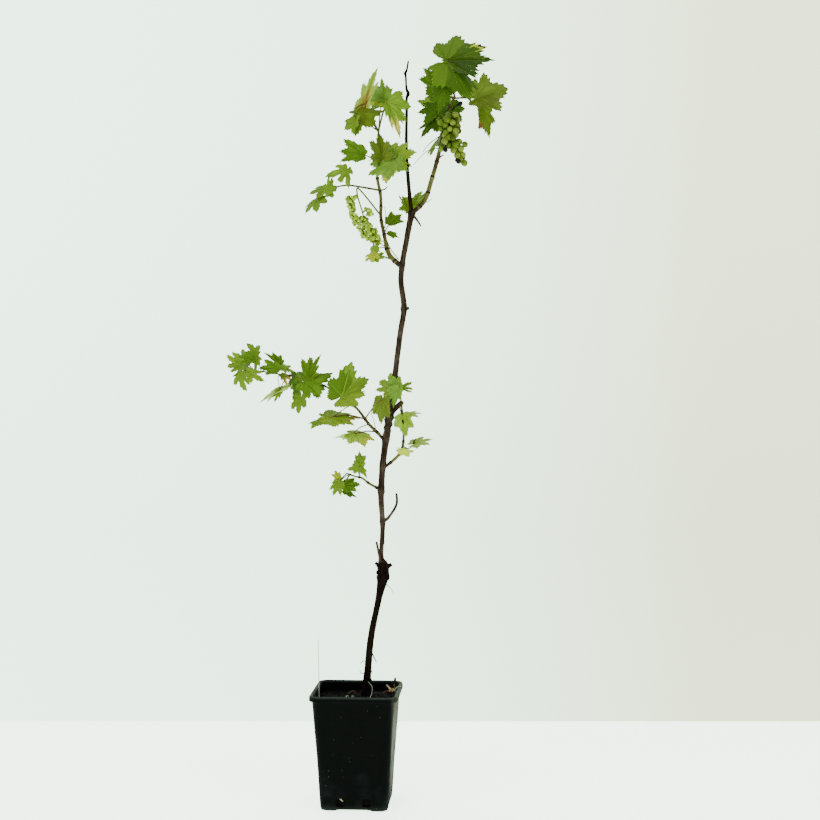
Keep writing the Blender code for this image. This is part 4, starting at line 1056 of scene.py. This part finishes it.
# Damp peat: almost black, with reddish brown fibres towards the right
place = addNode(tree, "TexCoord").outputs["Object"]
crumb = addNode(tree, "TexNoise", {"Scale": 420, "Detail": 5, "Roughness": 0.7, "Vector": place})
split = addNode(tree, "SeparateXYZ", {"Vector": place})
redder = addNode(tree, "MapRange", {"From Min": 0, "From Max": 0.05, "To Max": 0.12, "Value": split})
mixed = addNode(tree, "Math", {0: crumb, 1: redder}, operation="ADD")
peat = addNode(tree, "ValToRGB", {"Fac": mixed}, stops=(
    (0.4, "#010101"), (0.58, "#040303"), (0.7, "#0d0705"), (0.84, "#27130d")))
cover(tree, shader, peat, crumb, 0.8, 0.001)
barkChip = mottled("barkChip", "#180c08", 0.9, 0.1, 260, 0.35)  # dark red-brown woody flakes
rng = np.random.default_rng(seed)
parts = [soilShape(), lumps(*soilForm["crumbs"], rng, 0), lumps(*soilForm["chips"], rng, 1)]
addPiece("potting_mix", parts, [pottingMix, barkChip], ["potting_soil"])


# This year's growth

shootSkin, tree, shader = newMaterial("ripeningShoot", "#53522a", 0.6, 0.08)
# This year's shoots turn from olive green to brown in long blotches as they ripen
place = addNode(tree, "TexCoord").outputs["Object"]
streaks = addNode(tree, "Mapping", {"Scale": (75, 75, 30), "Vector": place})
blotch = addNode(tree, "TexNoise", {"Scale": 1, "Detail": 4, "Roughness": 0.55, "Vector": streaks})
skin = addNode(tree, "ValToRGB", {"Fac": blotch}, stops=(
    (0.3, "#2c1d0e"), (0.43, "#392e13"), (0.53, "#433f19"), (0.67, "#504f24")))
cover(tree, shader, skin, blotch, 0.3, 0.0004)
shootNode = mottled("shootNodeBark", "#1d120a", 0.7, 0.08, 300, 0.3)  # darker, older bark at each node

leafColours = {  # by what the eye meets: young blades are yellower and old ones deeper
    "deepest": "#1f3403", "deepOlive": "#273a04", "dark": "#2e4508", "mid": "#3f580d", "fresh": "#526918",
    "bright": "#627a19", "cool": "#526e23", "yellowGreen": "#758e29",
    "lime": "#829838", "yellow": "#8f981d", "olive": "#42500d", "greyOlive": "#4a5719", "pale": "#97aa52",
    "beige": "#a99a3e", "tan": "#8a7432", "scorch": "#281007", "rust": "#5d3219", "vein": "#6c8924",
    "veinDark": "#455f18", "under": "#74933c", "underVein": "#97af55",
}
leafMaterials, lookOf = [], {}
for look, code in leafColours.items():
    for ending, lift in (("", 0.94), ("Light", 1.18)):
        lookOf[look + ending] = len(leafMaterials)
        leafMaterials.append(newMaterial("leafBlade" + look.capitalize() + ending, code, 0.6, 0.04, lift)[0])
stalkColours = {"leafStalkGreen": "#4a5524", "leafStalkRed": "#49361d", "witheredStalk": "#140d08"}
stalkMaterials = [mottled(name, code, 0.55, 0.07, 240, 0.25) for name, code in stalkColours.items()]
for shoot, form in shootForm.items():
    route = fromLimb(trunkRoute, seen(form["route"]) * [1, 1, 1, form["vigour"]], *nodeForm["foot"])
    run = lengthsOf(route)
    first, step = form["internode"] * nodeForm["firstNode"], form["internode"]
    places = np.arange(first, run[-1] - nodeForm["bareTip"], step)
    marked = (np.abs(run[:, None] - places).min(axis=1) < nodeForm["marked"]) | (run < nodeForm["oldFoot"])
    parts = [tube(route, nodeForm["around"], look=marked.astype(int), relief=nodeRelief(places))]
    nodes = [at(route, places)[:, :3], route[-4:-3, :3]]
    lines = [route]
    for twig in form.get("twigs", ()):
        rows = seen(twig)
        rows[0, :3] = at(route, [nearest(route, rows[0, :3])])[0, :3]
        side = roundTip(evenRoute(rows, woodForm["limbStep"]))
        lines.append(side)
        parts.append(tube(side, nodeForm["twigAround"]))
        first, step = nodeForm["twigNodes"]
        nodes += [at(side, np.arange(first, lengthsOf(side)[-1], step))[:, :3], side[-4:-3, :3]]
    own = [part for part in form["nodes"] if part in foliage]
    blades, stalks = leavesOf(own, np.vstack(nodes))
    addPiece(shoot + "_shoot", parts, [shootSkin, shootNode], form["nodes"])
    addPiece(shoot + "_leaves", blades, leafMaterials, own)
    addPiece(shoot + "_leaf_stalks", stalks, stalkMaterials, own)
    if shoot in bunchForm:
        bunch, rng = bunchForm[shoot], np.random.default_rng([seed, *shoot.encode()])
        balls, stalks, placed = [], [], []
        for row in bunch["arms"]:
            grapes, thin, arm = bunchShapes(*row, lines, rng, placed)
            balls += grapes
            stalks += thin
            lines.append(arm)
        skins = bunch["skins"].items()  # dull with bloom
        skins = [mottled("grapeSkin" + name, code, 0.5, 0.07, 210, 0.2) for name, code in skins]
        mass = bunch["mass"]
        addPiece(mass + "_grapes", balls, skins, ["foliage_" + mass])
        addPiece(mass + "_bunch_stalks", stalks, stalkMaterials, ["foliage_" + mass])


# Tendrils, bracts, dead scraps and straw

smallParts = {  # piece, its node and slot: rows of look, radius at each end, and x, y, z along a curve
    "soil_litter": ("potting_soil", "potting_mix", (
        ("greyStraw", 0.7, 0.45, (-64, -30, 167), (-64.6, -28, 228), (-66, -26, 276)),
        ("greyStraw", 0.6, 0.5, (18.5, -22, 170), (25, -16, 184), (25.4, -10, 196), (19.5, -5, 204)),
        ("greyStraw", 0.9, 0.7, (63, 6, 189), (68, 10, 195), (74, 14, 197)),
        ("paleBract", 1.9, 1.1, (57, 24, 191), (53, 26, 196), (50, 27, 199)),
        ("dryStraw", 2.3, 1.2, (55, 14, 187), (61, 18, 192), (66, 20, 185)),
        ("dryStraw", 1.5, 0.8, (60, 22, 186), (64, 20, 193), (63, 16, 199)),
        ("paleBract", 1.8, 0.9, (60, 15, 187), (63, 14, 191), (66, 12, 186)),
        ("barkBrown", 2.4, 1.4, (44, 20, 184), (52, 18, 188), (58, 16, 185)),
        ("barkBrown", 2, 1.5, (66, 30, 184), (69, 28, 190), (66, 24, 194)),
        ("blackStick", 1.5, 1.1, (63, 36, 180), (63.5, 38, 198), (64.5, 40, 205)),
        ("blackStick", 2.3, 1.8, (64.2, 40, 203), (64.6, 40, 207), (65, 40, 210)),
        ("greyStraw", 0.8, 0.5, (-19, -22, 178), (-16, -22, 181), (-14, -22, 179)),
        ("greyStraw", 0.6, 0.4, (-9, -22, 178), (-7, -20, 181), (-5, -20, 179)),
        ("paleBract", 2.2, 1.6, (-29, -52, 8), (-27, -52, 4), (-24, -52, 1)),
        ("barkBrown", 2.3, 1.4, (-14, 2, 183), (-6, -2, 188), (-2, -4, 184)),
    )),
    "trunk_rootlets": ("trunk", "bark", (
        ("blackStick", 1.3, 0.7, (22, 12, 270), (25, 6, 256), (30, 4, 244), (33, 4, 238)),
        ("blackStick", 0.8, 0.4, (23, 8, 262), (22, 4, 250), (26, 2, 240)),
        ("blackStick", 0.8, 0.6, (18, 12, 236), (12, 8, 240), (6, 6, 236)),
        ("blackStick", 0.9, 0.7, (18, 10, 226), (24, 6, 224), (26, 5, 219)),
        ("blackStick", 1.3, 0.8, (17, 10, 214), (22, 6, 212), (25, 5, 207)),
        ("blackStick", 0.8, 0.5, (16, 12, 222), (8, 8, 218), (5, 6, 224)),
        ("blackStick", 0.7, 0.3, (48, 2, 372), (58, -2, 362), (62, -3, 352)),
        ("barkBrown", 2.3, 1.3, (96, -2, 993), (103, -3, 984), (108, -3, 976)),
        ("barkBrown", 2.2, 1.9, (41, 2, 407), (38, 0, 419), (35.5, 0, 431), (33.5, 0, 441)),
    )),
    "right_tendrils": ("foliage_right_low", "foliage", (
        ("leafStalkRed", 1, 0.6, (142, -8, 1128), (132, -14, 1121), (121, -16, 1112), (112, -14, 1100)),
        ("leafStalkGreen", 0.8, 0.45, (137, -8, 1106), (122, -18, 1103), (110, -22, 1094), (96, -20, 1078)),
        ("leafStalkRed", 0.9, 0.5, (113, -5, 1017), (120, -6, 1016), (127, -6, 1022)),
        ("witheredStalk", 1.5, 1.1, (161, -8, 1170), (166, -16, 1176), (171, -18, 1179)),
        ("witheredStalk", 2, 3.9, (170, -18, 1178.5), (172.5, -18, 1180), (175, -19, 1181.5)),
        ("witheredStalk", 1.6, 0.9, (139, -8, 1090), (143, -9, 1093), (147, -9, 1095)),
        ("witheredStalk", 3.4, 4.2, (168, -50, 1087), (170, -52, 1085.5), (172, -53, 1084)),
        ("witheredStalk", 3.2, 3.8, (148, -56, 1107), (149, -57, 1105), (150, -57, 1103)),
    )),
    "left_tendrils": ("foliage_left_middle", "foliage", (
        ("leafStalkRed", 1, 0.7, (14, 0, 1180), (4, -6, 1177), (-6, -8, 1168), (-5, -8, 1160)),
        ("leafStalkRed", 0.9, 0.5, (47, -9, 972), (50, -10, 988), (47, -10, 1008)),
        ("leafStalkRed", 0.9, 0.6, (71, -4, 919), (58, -10, 936), (49, -12, 956), (44, -12, 966)),
        ("paleBract", 1.4, 0.5, (34, -9, 1091), (28, -14, 1093), (20, -16, 1090)),
        ("paleBract", 1.2, 0.4, (34, -9, 1090), (27, -12, 1088), (18, -14, 1084)),
        ("witheredStalk", 1.5, 0.8, (40, -10, 1036), (47, -11, 1037), (52, -11, 1042)),
    )),
    "long_tendrils": ("foliage_long_near", "foliage", (
        ("leafStalkRed", 0.8, 0.4, (33, -8, 628), (29, -14, 646), (25, -16, 660), (28, -15, 672)),
        ("leafStalkRed", 0.7, 0.4, (-112, -17, 726), (-118, -22, 733), (-112, -24, 738)),
        ("leafStalkRed", 1, 0.8, (20, -11, 641), (6, -18, 636), (-5, -24, 627), (-12, -26, 621)),
        ("leafStalkRed", 0.9, 0.7, (-8, -16, 675), (-20, -20, 668), (-34, -24, 658), (-45, -26, 650)),
        ("leafStalkGreen", 0.8, 0.6, (-131, -17, 726), (-133, -24, 718), (-130, -28, 700)),
    )),
    "side_tendrils": ("foliage_side_top", "foliage", (
        ("leafStalkRed", 1.1, 0.9, (72, -14, 676), (74, -20, 664), (77, -26, 648), (78, -28, 644)),
        ("witheredStalk", 1.4, 1.2, (77, -28, 648), (78, -29, 645), (79, -29, 643)),
        ("leafStalkRed", 0.9, 0.7, (78, -12, 656), (86, -16, 652), (92, -16, 644)),
        ("witheredStalk", 1.5, 0.9, (96, -12, 602), (97, -14, 612), (100, -14, 617)),
    )),
}
scrapAround = 8
scrapColours = {  # dry scraps, from bleached to rotted
    "paleBract": "#94866a", "dryStraw": "#7d6128", "greyStraw": "#7f857b", "barkBrown": "#2b160e",
    "blackStick": "#0b0806",
}
scraps = {name: mottled(name, code, 0.7, 0.15, 280, 0.25) for name, code in scrapColours.items()}
scraps.update(zip(stalkColours, stalkMaterials))
for name, (node, slot, rows) in smallParts.items():
    used = list(dict.fromkeys(row[0] for row in rows))  # each look once, in the order of the rows
    shapes = []
    for look, thick, thin, *knots in rows:
        rows = np.column_stack([seen(knots), np.linspace(thick, thin, len(knots))])
        shapes.append(tube(roundTip(evenRoute(rows, woodForm["limbStep"])), scrapAround, used.index(look)))
    addPiece(name, shapes, [scraps[look] for look in used], [node])


# Studio

studioForm = {
    "sheets": {  # four corners in order round a face towards the camera
        "studioFloor": ((-9000, -9000, 0), (9000, -9000, 0), (9000, 588, 0), (-9000, 588, 0)),
        "studioWall": ((-7000, 4600, -1600), (7000, 4600, -1600), (7000, 4600, 9000), (-7000, 4600, 9000)),
    },
    "lights": {  # place and aim in metres, size and power
        "softboxLeft": ((-1.9, -2, 2.3), (0, 0, 0.75), 1.8, 62),
        "softboxRight": ((2.1, -1.7, 1.6), (0, 0, 0.6), 1.6, 34),
        "softboxTop": ((0.1, -0.5, 3.1), (0, 0, 0.5), 2.2, 58),
    },
    "room": ("#eef2ee", 0.5),
    "camera": {"lens": 63.66, "sensor_width": 36},
    "cameraTilt": 89,
}
paintedFloor, tree, shader = newMaterial("mattWhiteFloor", "#eef0ec", 0.9, 0.2)  # lit from above, so it glows
shader.inputs["Emission Color"].default_value = linear("#d6ecd2")
shader.inputs["Emission Strength"].default_value = 4
paintedWall, tree, shader = newMaterial("litWhiteWall", "#e6ebe4", 0.9, 0.2)  # glows too, warmer to the right
place = addNode(tree, "SeparateXYZ", {"Vector": addNode(tree, "TexCoord").outputs["Object"]})
across = addNode(tree, "MapRange", {"From Min": -1.9, "From Max": 1.6, "Value": place})
glow = addNode(tree, "ValToRGB", {"Fac": across}, stops=(
    (0, "#cbe8d0"), (0.55, "#bcd8c0"), (1, "#a5ae88")))
tree.links.new(socketOf(glow), shader.inputs["Emission Color"])
shader.inputs["Emission Strength"].default_value = 4.7


def addObject(name, data):  # an object of a mesh, light or camera, in the scene
    thing = bpy.data.objects.new(name, data)
    bpy.context.scene.collection.objects.link(thing)
    return thing


for (name, corners), look in zip(studioForm["sheets"].items(), (paintedFloor, paintedWall)):
    mesh = bpy.data.meshes.new(name)
    mesh.from_pydata((np.array(corners) * 0.001).tolist(), [], [(0, 1, 2, 3)])
    mesh.materials.append(look)
    addObject(name, mesh)
for name, (place, aim, size, power) in studioForm["lights"].items():
    lamp = bpy.data.lights.new(name, "AREA")
    lamp.size, lamp.energy = size, power
    thing = addObject(name, lamp)
    thing.location = place
    thing.rotation_euler = (Vector(aim) - Vector(place)).to_track_quat("-Z", "Y").to_euler()
world = bpy.data.worlds.new("paleRoom")
world.use_nodes = True
code, strength = studioForm["room"]
world.node_tree.nodes["Background"].inputs["Color"].default_value = linear(code)
world.node_tree.nodes["Background"].inputs["Strength"].default_value = strength
bpy.context.scene.world = world

view = bpy.data.cameras.new("photoCamera")
for key, value in studioForm["camera"].items():
    setattr(view, key, value)
camera = addObject("photoCamera", view)
camera.location = eye * 0.001
camera.rotation_euler = (np.radians(studioForm["cameraTilt"]), 0, 0)
bpy.context.scene.camera = camera
print("studio, lights and camera placed")
